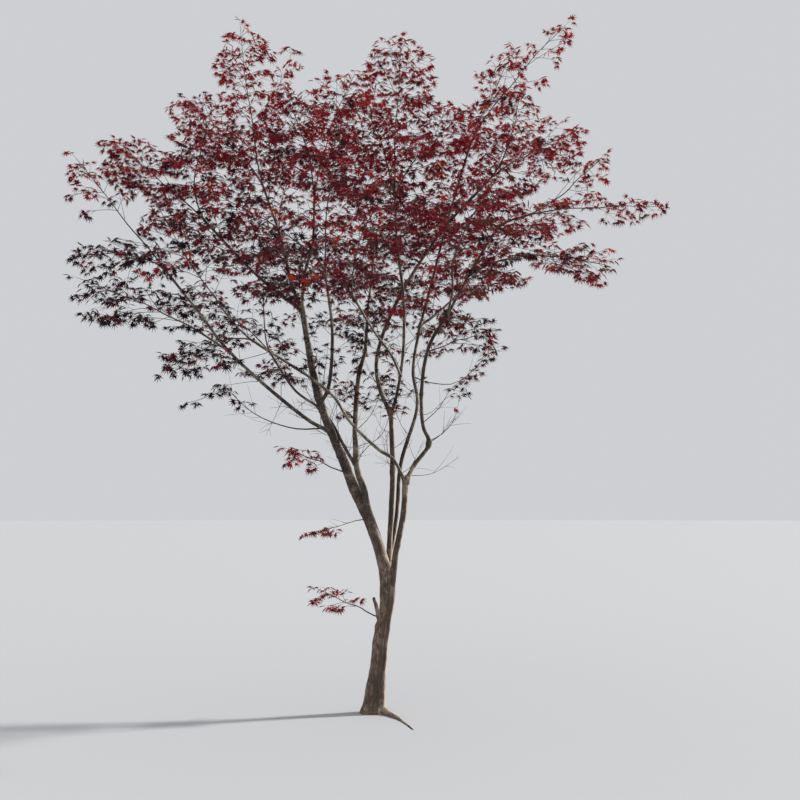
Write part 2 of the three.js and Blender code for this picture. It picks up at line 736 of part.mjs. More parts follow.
// One mass: pairs of twigs that leave the stem and lean forward to the rim of the space, each with a leaf
// for its end and pairs lower down. A twig or leaf that would leave the mass's space, touch a limb or meet
// one already there is tried a little to one side, and then skipped.
function growMass(mass, masses, wideLimbs) {
  const random = seeded(SEED + mass.index);
  const strangers = [wideLimbs, ...masses.filter((other) => other !== mass).map((other) => other.stemWide)];
  const pieces = [mass.stemSolid];
  const { skin } = mass;

  // Grows what make() tries out of one of a bearer's faces, once there is room for it.
  const sprout = (bearer, faces, make) => {
    for (let attempt = 0; attempt < TRIES; attempt++) {
      const shoot = make(attempt);
      const face = skin.faceTowards(faces, shoot.heading);
      if (!face) {
        continue;
      }
      const root = skin.corners(face);
      const rings = fittedTo(root, shoot.ringsFrom(root));
      if (!rings) {
        continue;
      }
      const solid = solidOf(skinGeometry([root, ...rings]));
      const shared = (piece) => solid.intersect(piece).volume();
      const clear =
        solid.volume() > 0 &&
        inOwnCell(solid, mass, masses) &&
        strangers.every((stranger) => shared(stranger) === 0) &&
        pieces.every((piece) => shared(piece) <= (piece === bearer ? TOUCH_VOLUME : 0));
      if (clear) {
        pieces.push(solid);
        return { ...shoot, solid, steps: skin.growFrom(face, rings) };
      }
    }
    return null;
  };

  mass.collars.forEach((collar, place) => {
    const turn = mass.turn + (place * Math.PI) / mass.collars.length;
    for (const opposite of [0, Math.PI]) {
      const twig = sprout(mass.stemSolid, collar.faces, (attempt) =>
        twigTry(mass, collar, turn + opposite, random, attempt),
      );
      twig?.collarShares.forEach((share, i) => {
        for (const hand of [-1, 1]) {
          sprout(twig.solid, twig.steps[2 * i + 1], (attempt) =>
            leafTry(mass, twig.curve, share, hand, random, attempt),
          );
        }
      });
    }
  });
  return mass.side ? largestBody(skin.solid().subtract(wideLimbs)) : skin.solid();
}

const group = new THREE.Group();
const { grown: limbs, wideLimbs } = growLimbs();
group.add(meshOf("trunk", trunkSolid(), BARK));
for (const limb of limbs.values()) {
  group.add(meshOf(limb.name, limb.solid, BARK));
}
const masses = MASSES.map(([name, on, middle, spread, rise, side], index) => ({
  name,
  on,
  middle: vector(middle),
  spread,
  rise,
  side: side && vector(side),
  index,
  turn: index * GOLDEN_ANGLE,
  leafLength: Math.min(LEAF_LENGTH.longest, LEAF_LENGTH.share * spread),
}));
masses.forEach((mass) => growStem(mass, limbs, masses));
for (const mass of masses) {
  group.add(meshOf(`${mass.name}_foliage`, growMass(mass, masses, wideLimbs), FOLIAGE));
}

export default group;
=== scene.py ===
"""A Japanese maple tree in leaf: a leaning trunk that divides low down, bare boughs and a wide, open crown.

Growth is worked out in millimetres and radians, and turned into metres where a mesh is made. +X is to the
right and -Y is towards the viewer. The origin is the middle of the trunk's flat foot.
"""

from __future__ import annotations

import json
import logging
import math
from dataclasses import dataclass, field
from enum import Enum
from typing import Any, Iterable, Iterator, NamedTuple, Sequence

import bpy
import numpy as np
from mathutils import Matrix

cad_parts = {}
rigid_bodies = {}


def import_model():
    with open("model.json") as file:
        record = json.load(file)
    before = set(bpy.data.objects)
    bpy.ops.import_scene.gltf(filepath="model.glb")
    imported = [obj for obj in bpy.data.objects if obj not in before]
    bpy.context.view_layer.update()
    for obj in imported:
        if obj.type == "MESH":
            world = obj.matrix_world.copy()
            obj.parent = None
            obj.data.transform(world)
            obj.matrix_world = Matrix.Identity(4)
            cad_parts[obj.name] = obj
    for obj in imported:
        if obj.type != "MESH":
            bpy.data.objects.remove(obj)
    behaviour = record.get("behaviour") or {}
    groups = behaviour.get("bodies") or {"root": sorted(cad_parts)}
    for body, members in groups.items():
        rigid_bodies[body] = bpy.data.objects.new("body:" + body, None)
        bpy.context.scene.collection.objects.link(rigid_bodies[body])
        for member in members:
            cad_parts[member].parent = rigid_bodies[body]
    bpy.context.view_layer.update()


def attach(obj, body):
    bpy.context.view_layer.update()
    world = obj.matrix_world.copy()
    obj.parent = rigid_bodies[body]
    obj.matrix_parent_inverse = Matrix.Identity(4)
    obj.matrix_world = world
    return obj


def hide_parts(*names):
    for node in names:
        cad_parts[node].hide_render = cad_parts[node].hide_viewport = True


LOG = logging.getLogger("maple")
Vec = np.ndarray
Place = tuple[float, float, float]
Colour = tuple[float, float, float]
Span = tuple[float, float]
Waves = Sequence[tuple[float, float, float, float]]
Material = bpy.types.Material

MM = 0.001
SEED = 41
TURN = 2 * math.pi
GOLDEN_ANGLE = math.pi * (3 - math.sqrt(5))
UP = np.array([0.0, 0.0, 1.0])


def unit(vector: Vec) -> Vec:
    """Gives back the vector at length 1."""
    return vector / max(float(np.linalg.norm(vector)), 1e-12)


def mix(low: float | Vec, high: float | Vec, share: float | Vec) -> float | Vec:
    """Gives back the value that share of the way from low to high."""
    return low + (high - low) * share


def around(sides: int) -> Vec:
    """Gives back the angles of a ring's points."""
    return np.arange(sides) * TURN / sides


def chance(*numbers: int) -> np.random.Generator:
    """Gives back the source of chance that belongs to these numbers."""
    return np.random.default_rng([SEED, *numbers])


def level_across(heading: Vec) -> Vec:
    """Gives back a level direction across a heading, or +Y where the heading is upright."""
    across = np.cross(UP, heading)
    return unit(across) if float(across @ across) > 0.01 else np.array([0.0, 1.0, 0.0])


def beside(heading: Vec, turn: float) -> Vec:
    """Gives back a direction across a heading.

    Args:
        heading: The heading, of length 1.
        turn: How far the direction is turned about it from the level one.

    Returns:
        The direction.
    """
    level = level_across(heading)
    along = heading * float(heading @ level)
    return along + (level - along) * math.cos(turn) + np.cross(heading, level) * math.sin(turn)


def ripple(along: Vec, turn: Vec, waves: Waves) -> Vec:
    """Adds up waves over a limb's skin.

    Args:
        along: How far along the limb each point is.
        turn: Each point's angle round the limb.
        waves: For each wave its height, its length along the limb, its count round it and its phase.

    Returns:
        The height at each point.
    """
    total = np.zeros(np.broadcast(along, turn).shape)
    for height, length, count, phase in waves:
        total = total + height * np.sin(TURN * along / length + count * turn + phase)
    return total


@dataclass
class Route:
    """A curve as closely spaced points, measured by the distance travelled along it."""

    points: Vec

    def __post_init__(self) -> None:
        """Measures the distance travelled at each point, and the whole length."""
        steps = np.linalg.norm(np.diff(self.points, axis=0), axis=1)
        self.travelled = np.concatenate([[0.0], np.cumsum(steps)])
        self.length = float(self.travelled[-1])

    @classmethod
    def through(cls, places: Sequence[Place], fineness: int = 30) -> Route:
        """Makes a smooth route through places, by the centripetal rule.

        Args:
            places: The places, in order.
            fineness: How many points stand between one place and the next.

        Returns:
            The route.
        """
        given = np.array(places, float)
        ends = [2 * given[0] - given[1], *given, 2 * given[-1] - given[-2]]
        share = np.linspace(0, 1, fineness, endpoint=False)[:, None]
        pieces = []
        for before, start, end, after in zip(ends, ends[1:], ends[2:], ends[3:]):
            legs = (start - before, end - start, after - end)
            gaps = [math.sqrt(float(np.linalg.norm(leg))) for leg in legs]
            leave = legs[0] / gaps[0] - (end - before) / (gaps[0] + gaps[1]) + legs[1] / gaps[1]
            arrive = legs[1] / gaps[1] - (after - start) / (gaps[1] + gaps[2]) + legs[2] / gaps[2]
            leave, arrive = leave * gaps[1], arrive * gaps[1]
            square = 3 * legs[1] - 2 * leave - arrive
            cube = 2 * (start - end) + leave + arrive
            pieces.append(start + leave * share + square * share**2 + cube * share**3)
        return cls(np.vstack([*pieces, given[-1:]]))

    @classmethod
    def bent(cls, foot: Vec, heading: Vec, tip: Vec, pull: float, fineness: int = 13) -> Route:
        """Makes a twig's route, which starts along a heading and bends to its tip.

        Args:
            foot: Where it starts.
            heading: Which way it starts.
            tip: Where it ends.
            pull: How far it keeps its heading, as a share of the distance.
            fineness: How many points it has.

        Returns:
            The route.
        """
        knee = foot + heading * float(np.linalg.norm(tip - foot)) * pull
        share = np.linspace(0, 1, fineness)[:, None]
        return cls(foot * (1 - share) ** 2 + knee * 2 * share * (1 - share) + tip * share**2)

    def at(self, share: float | Vec) -> Vec:
        """Gives back the place, or places, at shares of the length."""
        wanted = np.asarray(share, float) * self.length
        return np.stack([np.interp(wanted, self.travelled, axis) for axis in self.points.T], axis=-1)

    def heading(self, share: float, step: float = 0.02) -> Vec:
        """Gives back the direction at a share of the length."""
        return unit(self.at(min(1.0, share + step)) - self.at(max(0.0, share - step)))


@dataclass
class Skin:
    """Triangles that are gathered bit by bit and then made into one piece."""

    bluntness: float = 0.8
    vertices: list[Vec] = field(default_factory=list)
    triangles: list[Vec] = field(default_factory=list)
    count: int = 0

    def add(self, vertices: Vec, triangles: Vec) -> None:
        """Adds points and the triangles between them.

        Args:
            vertices: The points.
            triangles: Their corners, numbered from the first of these points.
        """
        self.vertices.append(vertices)
        self.triangles.append(triangles + self.count)
        self.count += len(vertices)

    def tube(self, middles: Vec, radii: Vec, sides: int) -> None:
        """Adds a limb or twig: rings of points round a line, closed by a blunt point at its end.

        Args:
            middles: The line's points.
            radii: The radius at each of them, or at each side of each of them.
            sides: How many sides the tube has.
        """
        headings = np.gradient(middles, axis=0)
        headings /= np.linalg.norm(headings, axis=1)[:, None]
        side = level_across(headings[0])
        across = np.empty_like(middles)
        for ring, heading in enumerate(headings):
            side = unit(side - heading * float(heading @ side))
            across[ring] = side
        up = np.cross(headings, across)
        radii = radii if radii.ndim == 2 else radii[:, None]
        rings = (
            middles[:, None, :]
            + (radii * np.cos(around(sides)))[:, :, None] * across[:, None, :]
            + (radii * np.sin(around(sides)))[:, :, None] * up[:, None, :]
        )
        point = middles[-1] + headings[-1] * float(radii[-1].mean()) * self.bluntness
        self.add(np.vstack([rings.reshape(-1, 3), point[None]]), self.tube_triangles(len(middles), sides))

    @staticmethod
    def tube_triangles(rings: int, sides: int) -> Vec:
        """Numbers the triangles of a tube with a point at its end.

        Args:
            rings: How many rings it has.
            sides: How many sides.

        Returns:
            The triangles.
        """
        side, last = np.arange(sides), (rings - 1) * sides
        ring = np.arange(rings - 1)[:, None] * sides
        first, after = (ring + side).ravel(), (ring + (side + 1) % sides).ravel()
        walls = (first, after, after + sides), (first, after + sides, first + sides)
        cap = (last + side, last + (side + 1) % sides, np.full(sides, rings * sides))
        return np.vstack([np.column_stack(corners) for corners in (*walls, cap)])

    def to_piece(
        self, name: str, material: Material, slot: str, nodes: Iterable[str], smooth: bool = True
    ) -> bpy.types.Object:
        """Makes the gathered triangles into a piece on the tree's one body.

        Args:
            name: The piece's name.
            material: Its finish.
            slot: Not used.
            nodes: The nodes that it replaces.
            smooth: Whether it is shaded smooth.

        Returns:
            The piece.
        """
        points, faces = np.vstack(self.vertices) * MM, np.vstack(self.triangles)
        mesh = bpy.data.meshes.new(name)
        mesh.vertices.add(len(points))
        mesh.vertices.foreach_set("co", points.astype(np.float32).ravel())
        mesh.loops.add(faces.size)
        mesh.loops.foreach_set("vertex_index", faces.astype(np.int32).ravel())
        mesh.polygons.add(len(faces))
        mesh.polygons.foreach_set("loop_start", np.arange(0, faces.size, 3, dtype=np.int32))
        mesh.polygons.foreach_set("use_smooth", np.full(len(faces), smooth))
        mesh.update(calc_edges=True)
        mesh.materials.append(material)
        piece = bpy.data.objects.new(name, mesh)
        bpy.context.scene.collection.objects.link(piece)
        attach(piece, "root")
        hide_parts(*nodes)
        return piece


class Wire:
    """A shader socket, on which sums and products add Math nodes to its graph."""

    def __init__(self, graph: Graph, socket: bpy.types.NodeSocket) -> None:
        """Keeps the socket and the graph that it is part of."""
        self.graph, self.socket = graph, socket

    def _maths(self, operation: str, first: Wire | float, second: Wire | float) -> Wire:
        """Adds one Math node and gives back its result."""
        return self.graph.node("ShaderNodeMath", {"operation": operation}, {0: first, 1: second})["Value"]

    def __add__(self, other: Wire | float) -> Wire:
        """Adds."""
        return self._maths("ADD", self, other)

    def __sub__(self, other: Wire | float) -> Wire:
        """Takes away."""
        return self._maths("SUBTRACT", self, other)

    def __rsub__(self, other: float) -> Wire:
        """Takes this from a number."""
        return self._maths("SUBTRACT", other, self)

    def __mul__(self, other: Wire | float) -> Wire:
        """Multiplies."""
        return self._maths("MULTIPLY", self, other)

    __radd__, __rmul__ = __add__, __mul__


class Graph:
    """A material's nodes."""

    def __init__(self, name: str) -> None:
        """Makes a new material with an empty graph.

        Args:
            name: The material's name.
        """
        self.material = bpy.data.materials.new(name)
        self.material.use_nodes = True
        self.tree = self.material.node_tree
        self.tree.nodes.clear()

    def node(self, kind: str, settings: dict[str, Any], sockets: dict[str | int, Any]) -> dict[str, Wire]:
        """Adds one node.

        Args:
            kind: The node's type.
            settings: Its own settings, which are set first. "stops" are a colour ramp's places and colours.
            sockets: The value or the link of each input socket, by name or number.

        Returns:
            The node's output sockets by name.
        """
        made = self.tree.nodes.new(kind)
        for key, value in settings.items():
            if key != "stops":
                setattr(made, key, value)
                continue
            stops = made.color_ramp.elements
            for number, (place, colour) in enumerate(value):
                stop = stops[number] if number < len(stops) else stops.new(place)
                stop.position, stop.color = place, (*colour, 1.0)
        for key, value in sockets.items():
            if isinstance(value, Wire):
                self.tree.links.new(value.socket, made.inputs[key])
            else:
                made.inputs[key].default_value = value
        return {socket.name: Wire(self, socket) for socket in made.outputs if socket.enabled}

    def mixed(self, share: Wire | float, low: Any, high: Any) -> Wire:
        """Mixes two colours by a share."""
        return self.node("ShaderNodeMix", {"data_type": "RGBA"}, {0: share, 6: low, 7: high})["Result"]

    def split(self, vector: Wire) -> dict[str, Wire]:
        """Gives back a vector's X, Y and Z."""
        return self.node("ShaderNodeSeparateXYZ", {}, {"Vector": vector})

    def noise(self, place: Wire, scale: float, detail: float, roughness: float) -> Wire:
        """Adds one noise."""
        sockets = {"Vector": place, "Scale": scale, "Detail": detail, "Roughness": roughness}
        return self.node("ShaderNodeTexNoise", {}, sockets)["Fac"]

    def eased(self, value: Wire, span: Span, most: float = 1.0) -> Wire:
        """Gives back 0 where a value's span starts and the most where it ends, with a soft change between."""
        sockets = {"Value": value, "From Min": span[0], "From Max": span[1], "To Max": most}
        return self.node("ShaderNodeMapRange", {"interpolation_type": "SMOOTHSTEP"}, sockets)["Result"]

    def finish(self, sockets: dict[str | int, Any]) -> Material:
        """Adds the surface shader and links it to the output.

        Args:
            sockets: The value or the link of each of its input sockets.

        Returns:
            The finished material.
        """
        surface = self.node("ShaderNodeBsdfPrincipled", {}, sockets)
        self.node("ShaderNodeOutputMaterial", {}, {"Surface": surface["BSDF"]})
        return self.material


@dataclass(frozen=True)
class BarkFinish:
    """Smooth bark with upright streaks and pale blotches: warm brown low down, darker and greyer higher up.

    A strip at its right, which faces the key light, has a painted sunlit highlight, and a dark stripe of
    painted shade climbs the trunk's front along its groove.
    Places and sizes are in metres. An edge, a top or a front is where a soft change starts and where it ends.
    """

    name: str = "maple_bark"
    tone_stops: Place = (0.39, 0.5, 0.62)  # of its furrows, its ground and its worn high places
    low: tuple[Colour, ...] = ((0.022, 0.014, 0.010), (0.115, 0.070, 0.049), (0.33, 0.25, 0.185))
    high: tuple[Colour, ...] = ((0.011, 0.008, 0.006), (0.043, 0.031, 0.024), (0.15, 0.118, 0.090))
    turns_grey: Span = (0.45, 2.1)
    streak_size: Place = (0.008, 0.008, 0.075)
    relief: Span = (0.5, 0.006)  # its strength and its depth
    roughness: Span = (0.68, 0.26)  # the least, and what the streaks add
    tone_shares: Place = (0.50, 0.28, 0.22)  # of the streaks, the patches and the broad clouds
    relief_shares: Span = (0.7, 0.3)  # of the streaks and the flecks
    blotch: Colour = (0.27, 0.25, 0.19)
    blotch_shares: Place = (0.35, 0.35, 0.30)  # of the flecks, the patches and the broad clouds
    blotch_edge: Span = (0.51, 0.60)
    blotch_most: float = 0.6
    # painted shade: the dark colour of the stripe where the rib's shadow falls along the groove on the
    # trunk's front
    groove: Colour = (0.040, 0.027, 0.020)
    painted_shade_foot: float = 0.008
    painted_shade_lean: float = 0.145
    painted_shade_edge: Span = (0.0012, 0.0002)  # by the square of the distance from its middle
    painted_shade_top: Span = (1.35, 0.95)
    painted_shade_front: Span = (0.01, -0.025)
    painted_shade_most: float = 0.72
    # painted sunlit highlight: bark that faces right, towards the key light, is painted paler
    painted_sunlit: Colour = (0.56, 0.46, 0.36)
    painted_sunlit_edge: Span = (0.42, 0.95)
    painted_sunlit_front: Span = (0.22, -0.22)
    painted_sunlit_most: float = 0.85
    painted_sunlit_shares: Span = (0.12, 1.3)  # what greyness takes away, and what a light tone adds

    def material(self) -> Material:
        """Builds the finish's nodes.

        Returns:
            The material.
        """
        graph = Graph(self.name)
        coordinates = graph.node("ShaderNodeTexCoord", {}, {})
        place = coordinates["Object"]
        at, facing = graph.split(place), graph.split(coordinates["Normal"])
        scale = tuple(1 / size for size in self.streak_size)
        stretched = graph.node("ShaderNodeMapping", {}, {"Vector": place, "Scale": scale})["Vector"]
        streaks = graph.noise(stretched, scale=1.0, detail=5.0, roughness=0.62)
        broad = graph.noise(place, scale=3.2, detail=3.0, roughness=0.5)
        patches = graph.noise(place, scale=11.0, detail=4.0, roughness=0.6)
        flecks = graph.noise(place, scale=70.0, detail=3.0, roughness=0.6)
        by_streaks, by_patches, by_broad = self.tone_shares
        tone = streaks * by_streaks + patches * by_patches + broad * by_broad
        grey = graph.eased(at["Z"], self.turns_grey)
        low, high = (
            graph.node("ShaderNodeValToRGB", {"stops": zip(self.tone_stops, tones)}, {"Fac": tone})["Color"]
            for tones in (self.low, self.high)
        )
        colour = graph.mixed(grey, low, high)
        by_flecks, by_patches, by_broad = self.blotch_shares
        blotchy = flecks * by_flecks + patches * by_patches + broad * by_broad
        shown = graph.eased(blotchy, self.blotch_edge, self.blotch_most)
        colour = graph.mixed(shown, colour, (*self.blotch, 1.0))
        # painted shade in a stripe along the groove on the trunk's front, fading out higher up
        across = at["X"] - at["Z"] * self.painted_shade_lean - self.painted_shade_foot
        painted_shade = graph.eased(across * across, self.painted_shade_edge)
        painted_shade = painted_shade * graph.eased(at["Z"], self.painted_shade_top) * graph.eased(at["Y"], self.painted_shade_front)
        colour = graph.mixed(painted_shade * self.painted_shade_most, colour, (*self.groove, 1.0))
        # painted sunlit highlight on the side that faces the key light, kept out of the painted shade
        by_grey, by_tone = self.painted_sunlit_shares
        sunny = facing["X"] - grey * by_grey + (tone - 0.5) * by_tone
        pale = graph.eased(sunny, self.painted_sunlit_edge, self.painted_sunlit_most)
        pale = pale * graph.eased(facing["Y"], self.painted_sunlit_front) * (1 - painted_shade)
        colour = graph.mixed(pale, colour, (*self.painted_sunlit, 1.0))
        (by_streaks, by_flecks), (strength, depth) = self.relief_shares, self.relief
        rise = streaks * by_streaks + flecks * by_flecks
        relief = {"Height": rise, "Strength": strength, "Distance": depth}
        bump = graph.node("ShaderNodeBump", {}, relief)["Normal"]
        least, more = self.roughness
        return graph.finish({"Base Color": colour, "Roughness": least + streaks * more, "Normal": bump})


@dataclass(frozen=True)
class LeafFinish:
    """One tint of leaf, a little satiny."""

    name: str
    colour: Colour
    roughness: float = 0.5
    gloss: float = 0.10

    def material(self) -> Material:
        """Builds the finish's nodes."""
        sockets = {"Roughness": self.roughness, "Specular IOR Level": self.gloss}
        return Graph(self.name).finish({"Base Color": (*self.colour, 1.0), **sockets})


@dataclass(frozen=True)
class TwigFinish:
    """Thin young twigs: dark purple-brown, slightly glossy."""

    name: str = "young_twig_bark"
    dark: Colour = (0.040, 0.022, 0.018)
    light: Colour = (0.115, 0.068, 0.052)
    roughness: Span = (0.55, 0.3)  # the least, and what the blotches add

    def material(self) -> Material:
        """Builds the finish's nodes.

        Returns:
            The material.
        """
        graph = Graph(self.name)
        place = graph.node("ShaderNodeTexCoord", {}, {})["Object"]
        blotch = graph.noise(place, scale=7.0, detail=3.0, roughness=0.5)
        colour = graph.mixed(blotch, (*self.dark, 1.0), (*self.light, 1.0))
        least, more = self.roughness
        return graph.finish({"Base Color": colour, "Roughness": least + blotch * more})


class Tint(Enum):
    """The leaves' tints, from the deepest shade to full sun."""

    PURPLE_BLACK = LeafFinish("leaf_purple_black", (0.022, 0.009, 0.013))
    MAROON = LeafFinish("leaf_maroon", (0.050, 0.010, 0.016))
    BRONZE = LeafFinish("leaf_bronze", (0.150, 0.046, 0.027))
    WINE = LeafFinish("leaf_wine", (0.125, 0.010, 0.020))
    DARK_RED = LeafFinish("leaf_dark_red", (0.210, 0.010, 0.020))
    CRIMSON = LeafFinish("leaf_crimson", (0.300, 0.016, 0.024))
    BRIGHT_CRIMSON = LeafFinish("leaf_bright_crimson", (0.395, 0.021, 0.029))
    ORANGE_RED = LeafFinish("leaf_orange_red", (0.450, 0.044, 0.025))


@dataclass(frozen=True)
class LimbPlan:
    """One limb: the limb that it leaves, its radius at foot and tip, and the places that it grows through.

    Above a height its twigs are in leaf, as fully as its dress says.
    """

    name: str
    parent: str
    foot_radius: float
    tip_radius: float
    places: tuple[Place, ...]
    leafy_above: float = 2750
    dress: float = 0.7


@dataclass(frozen=True)
class MassPlan:
    """One mass of foliage: its limb, the middle of its space, how far that reaches, and how full it is.

    A shoot leaves the side of its limb at the place given last.
    """

    name: str
    limb: str
    middle: Place
    spread: float
    rise: float
    fullness: float = 1.0
    side: Place | None = None


@dataclass(frozen=True)
class TwigPlan:
    """One long thin twig: its radius at the foot, the places that it grows through, and its tufts."""

    radius: float
    places: tuple[Place, ...]
    tufts: int = 1


LIMBS: tuple[LimbPlan, ...] = tuple(LimbPlan(*row) for row in (
    ("left_stem", "trunk", 49, 21, ((100, -4, 945), (76, 2, 1095), (22, 30, 1280), (-50, 75, 1470),
     (-150, 120, 1665), (-228, 150, 1860), (-440, 200, 2390), (-580, 180, 3120)), 2600, 0.65),
    ("right_stem", "trunk", 24, 22, ((141, -16, 945), (170, -32, 1190), (200, -42, 1340), (226, -46, 1480),
     (244, -50, 1755))),
    ("middle_stem", "trunk", 22, 19, ((108, 34, 945), (122, 62, 1270), (143, 95, 1780), (130, 150, 2300))),
    ("inner_stem", "middle_stem", 17, 12, ((118, 58, 1120), (174, 120, 1470), (206, 172, 1860),
     (338, 300, 2340), (306, 390, 2620), (370, 550, 3050)), 2700),
    ("centre_left", "left_stem", 26, 15, ((-48, 74, 1470), (-76, 60, 1660), (-125, 20, 1800),
     (-138, 50, 1940), (-150, 150, 2150), (-130, 380, 2600), (-80, 500, 2810)), 2500, 0.6),
    ("rear_left", "centre_left", 13, 9, ((-128, 24, 1820), (-210, 80, 1960), (-400, 400, 2280),
     (-690, 800, 2520), (-950, 1130, 2900)), 2450, 0.55),
    ("far_left", "left_stem", 15, 9, ((-370, 184, 2130), (-520, 100, 2210), (-1090, -150, 2700),
     (-1330, -220, 3010), (-1570, -270, 3310)), 2400, 0.5),
    ("low_left", "far_left", 9, 7, ((-1085, -148, 2696), (-1200, -270, 2770), (-1320, -400, 2840)), 2500),
    ("left_riser", "left_stem", 15, 9, ((-430, 196, 2340), (-362, 90, 2440), (-310, -200, 2800),
     (-330, -760, 3190)), 2550, 0.6),
    ("upper_left", "left_stem", 14, 9, ((-575, 182, 3080), (-790, 200, 3240), (-1010, 230, 3440),
     (-1390, 320, 3850)), 2750, 1.15),
    ("upper_mid", "left_stem", 15, 9, ((-581, 186, 3090), (-680, 320, 3340), (-770, 490, 3700),
     (-950, 640, 4220)), 2750, 1.2),
    ("upper_right", "left_stem", 13, 9, ((-578, 180, 3070), (-560, 210, 3370), (-500, 230, 3640),
     (-490, 250, 4010)), 2750, 1.0),
    ("back_left", "centre_left", 14, 9, ((-84, 494, 2770), (-70, 720, 3160), (-40, 1000, 3560),
     (-30, 1290, 3960)), 2750, 0.8),
    ("crossing_bough", "right_stem", 13, 8, ((244, -50, 1715), (145, -100, 1895), (40, -160, 1962),
     (-170, -300, 2160), (-300, -420, 2350), (-850, -800, 2700)), 2400, 0.6),
    ("elbow_limb", "right_stem", 17, 12, ((244, -50, 1715), (305, -16, 1845), (424, 50, 2020),
     (380, 56, 2150), (366, 40, 2400), (420, -50, 2750), (570, -150, 3010)), 2600),
    ("right_limb", "elbow_limb", 11, 8, ((562, -146, 2990), (790, -290, 3390), (960, -360, 3630),
     (1170, -400, 3700)), 2750, 1.0),
    ("right_low", "right_limb", 8, 7, ((720, -250, 3270), (880, -350, 3340), (1070, -550, 3345)), 2750,
     1.0),
    ("front_right", "elbow_limb", 9, 7, ((560, -140, 2980), (580, -500, 3090), (560, -960, 3190))),
    ("centre_right", "middle_stem", 17, 9, ((131, 146, 2250), (40, 148, 2460), (18, 122, 2680),
     (150, 150, 3090), (530, 200, 3720), (930, 150, 4150)), 2900, 1.35),
    ("mid_riser", "middle_stem", 13, 9, ((132, 146, 2250), (184, 60, 2440), (224, -50, 2710),
     (228, -100, 3110), (180, -110, 3520), (160, -100, 3900)), 2750, 1.15),
    ("front_left", "mid_riser", 10, 8, ((206, 10, 2540), (130, -200, 2680), (20, -420, 2800),
     (-130, -900, 2990))),
    ("back_right", "inner_stem", 12, 8, ((364, 540, 3010), (440, 600, 3300), (610, 600, 3960),
     (780, 480, 4520)), 2750, 1.2),
    ("right_rear", "inner_stem", 12, 8, ((366, 544, 3020), (470, 650, 3110), (660, 1000, 3330),
     (840, 1300, 3580))),
))

MASSES: tuple[MassPlan, ...] = tuple(MassPlan(*row) for row in (
    ("far_left_high", "far_left", (-2040, -400, 3900), 290, 220, 0.5),
    ("far_left_mid", "far_left", (-2080, 0, 3440), 360, 160, 0.47),
    ("low_left_tier", "low_left", (-1700, -600, 2990), 470, 170, 0.6),
    ("crossing_low", "crossing_bough", (-1120, -980, 2560), 330, 180, 0.55),
    ("crossing_front", "crossing_bough", (-1180, -1300, 3200), 440, 240, 0.65),
    ("rear_left_tier", "rear_left", (-1320, 1000, 3200), 420, 230, 0.38),
    ("rear_left_high", "rear_left", (-980, 1560, 3780), 470, 300, 0.38),
    ("upper_left_outer", "upper_left", (-2020, 700, 4430), 385, 270, 0.75),
    ("upper_left_inner", "upper_left", (-1290, -150, 4130), 410, 300, 0.9),
    ("shoulder_left", "upper_mid", (-1450, 900, 4840), 385, 290, 0.85),
    ("spire", "upper_mid", (-1080, 420, 5180), 280, 330, 0.95),
    ("crest_left", "upper_right", (-575, -450, 4320), 400, 300, 0.85),
    ("crest_back", "upper_right", (-270, 820, 5030), 360, 310, 0.52),
    ("riser_left", "left_riser", (-760, -1150, 3420), 440, 270, 0.45),
    ("riser_right", "left_riser", (-260, -1080, 3780), 420, 280, 0.7),
    ("back_left_high", "back_left", (-190, 1250, 4480), 450, 330, 0.78),
    ("back_left_low", "back_left", (-180, 1800, 3760), 470, 280, 0.75),
    ("back_middle", "back_left", (370, 1740, 4200), 450, 305, 0.7),
    ("front_left_low", "front_left", (-420, -1640, 3040), 420, 210, 0.42),
    ("front_left_high", "front_left", (60, -1560, 3360), 430, 250, 0.65),
    ("crest_mid", "mid_riser", (200, -50, 4950), 360, 280, 0.9),
    ("mid_high", "mid_riser", (530, -100, 4350), 400, 290, 1.0),
    ("mid_front", "mid_riser", (10, -740, 4180), 430, 290, 0.78),
    ("right_tip", "right_limb", (1850, -450, 3730), 310, 90, 0.3),
    ("right_upper", "right_limb", (1580, -250, 4060), 270, 150, 0.3),
    ("right_low_tier", "right_low", (1370, -900, 3230), 380, 150, 0.75),
    ("right_shoulder", "centre_right", (1440, 430, 4500), 350, 240, 0.55),
    ("right_crest", "centre_right", (1005, -500, 4365), 330, 245, 0.52),
    ("top_right", "back_right", (1045, 600, 5120), 320, 245, 0.5),
    ("spur", "back_right", (1430, 330, 5320), 210, 190, 0.2),
    ("right_rear_out", "right_rear", (1355, 950, 3945), 435, 260, 0.37),
    ("right_rear_low", "right_rear", (900, 1560, 3660), 450, 250, 0.75),
    ("front_right_tier", "front_right", (720, -1400, 3440), 450, 270, 0.68),
    ("low_right", "elbow_limb", (660, -180, 2790), 290, 120, 0.6, (412, -40, 2720)),
    ("stem_shoot", "left_stem", (-500, 60, 1910), 230, 110, 0.4, (-228, 146, 1800)),
    ("trunk_shoot", "trunk", (-250, -120, 850), 230, 90, 0.25, (52, 0, 700)),
))

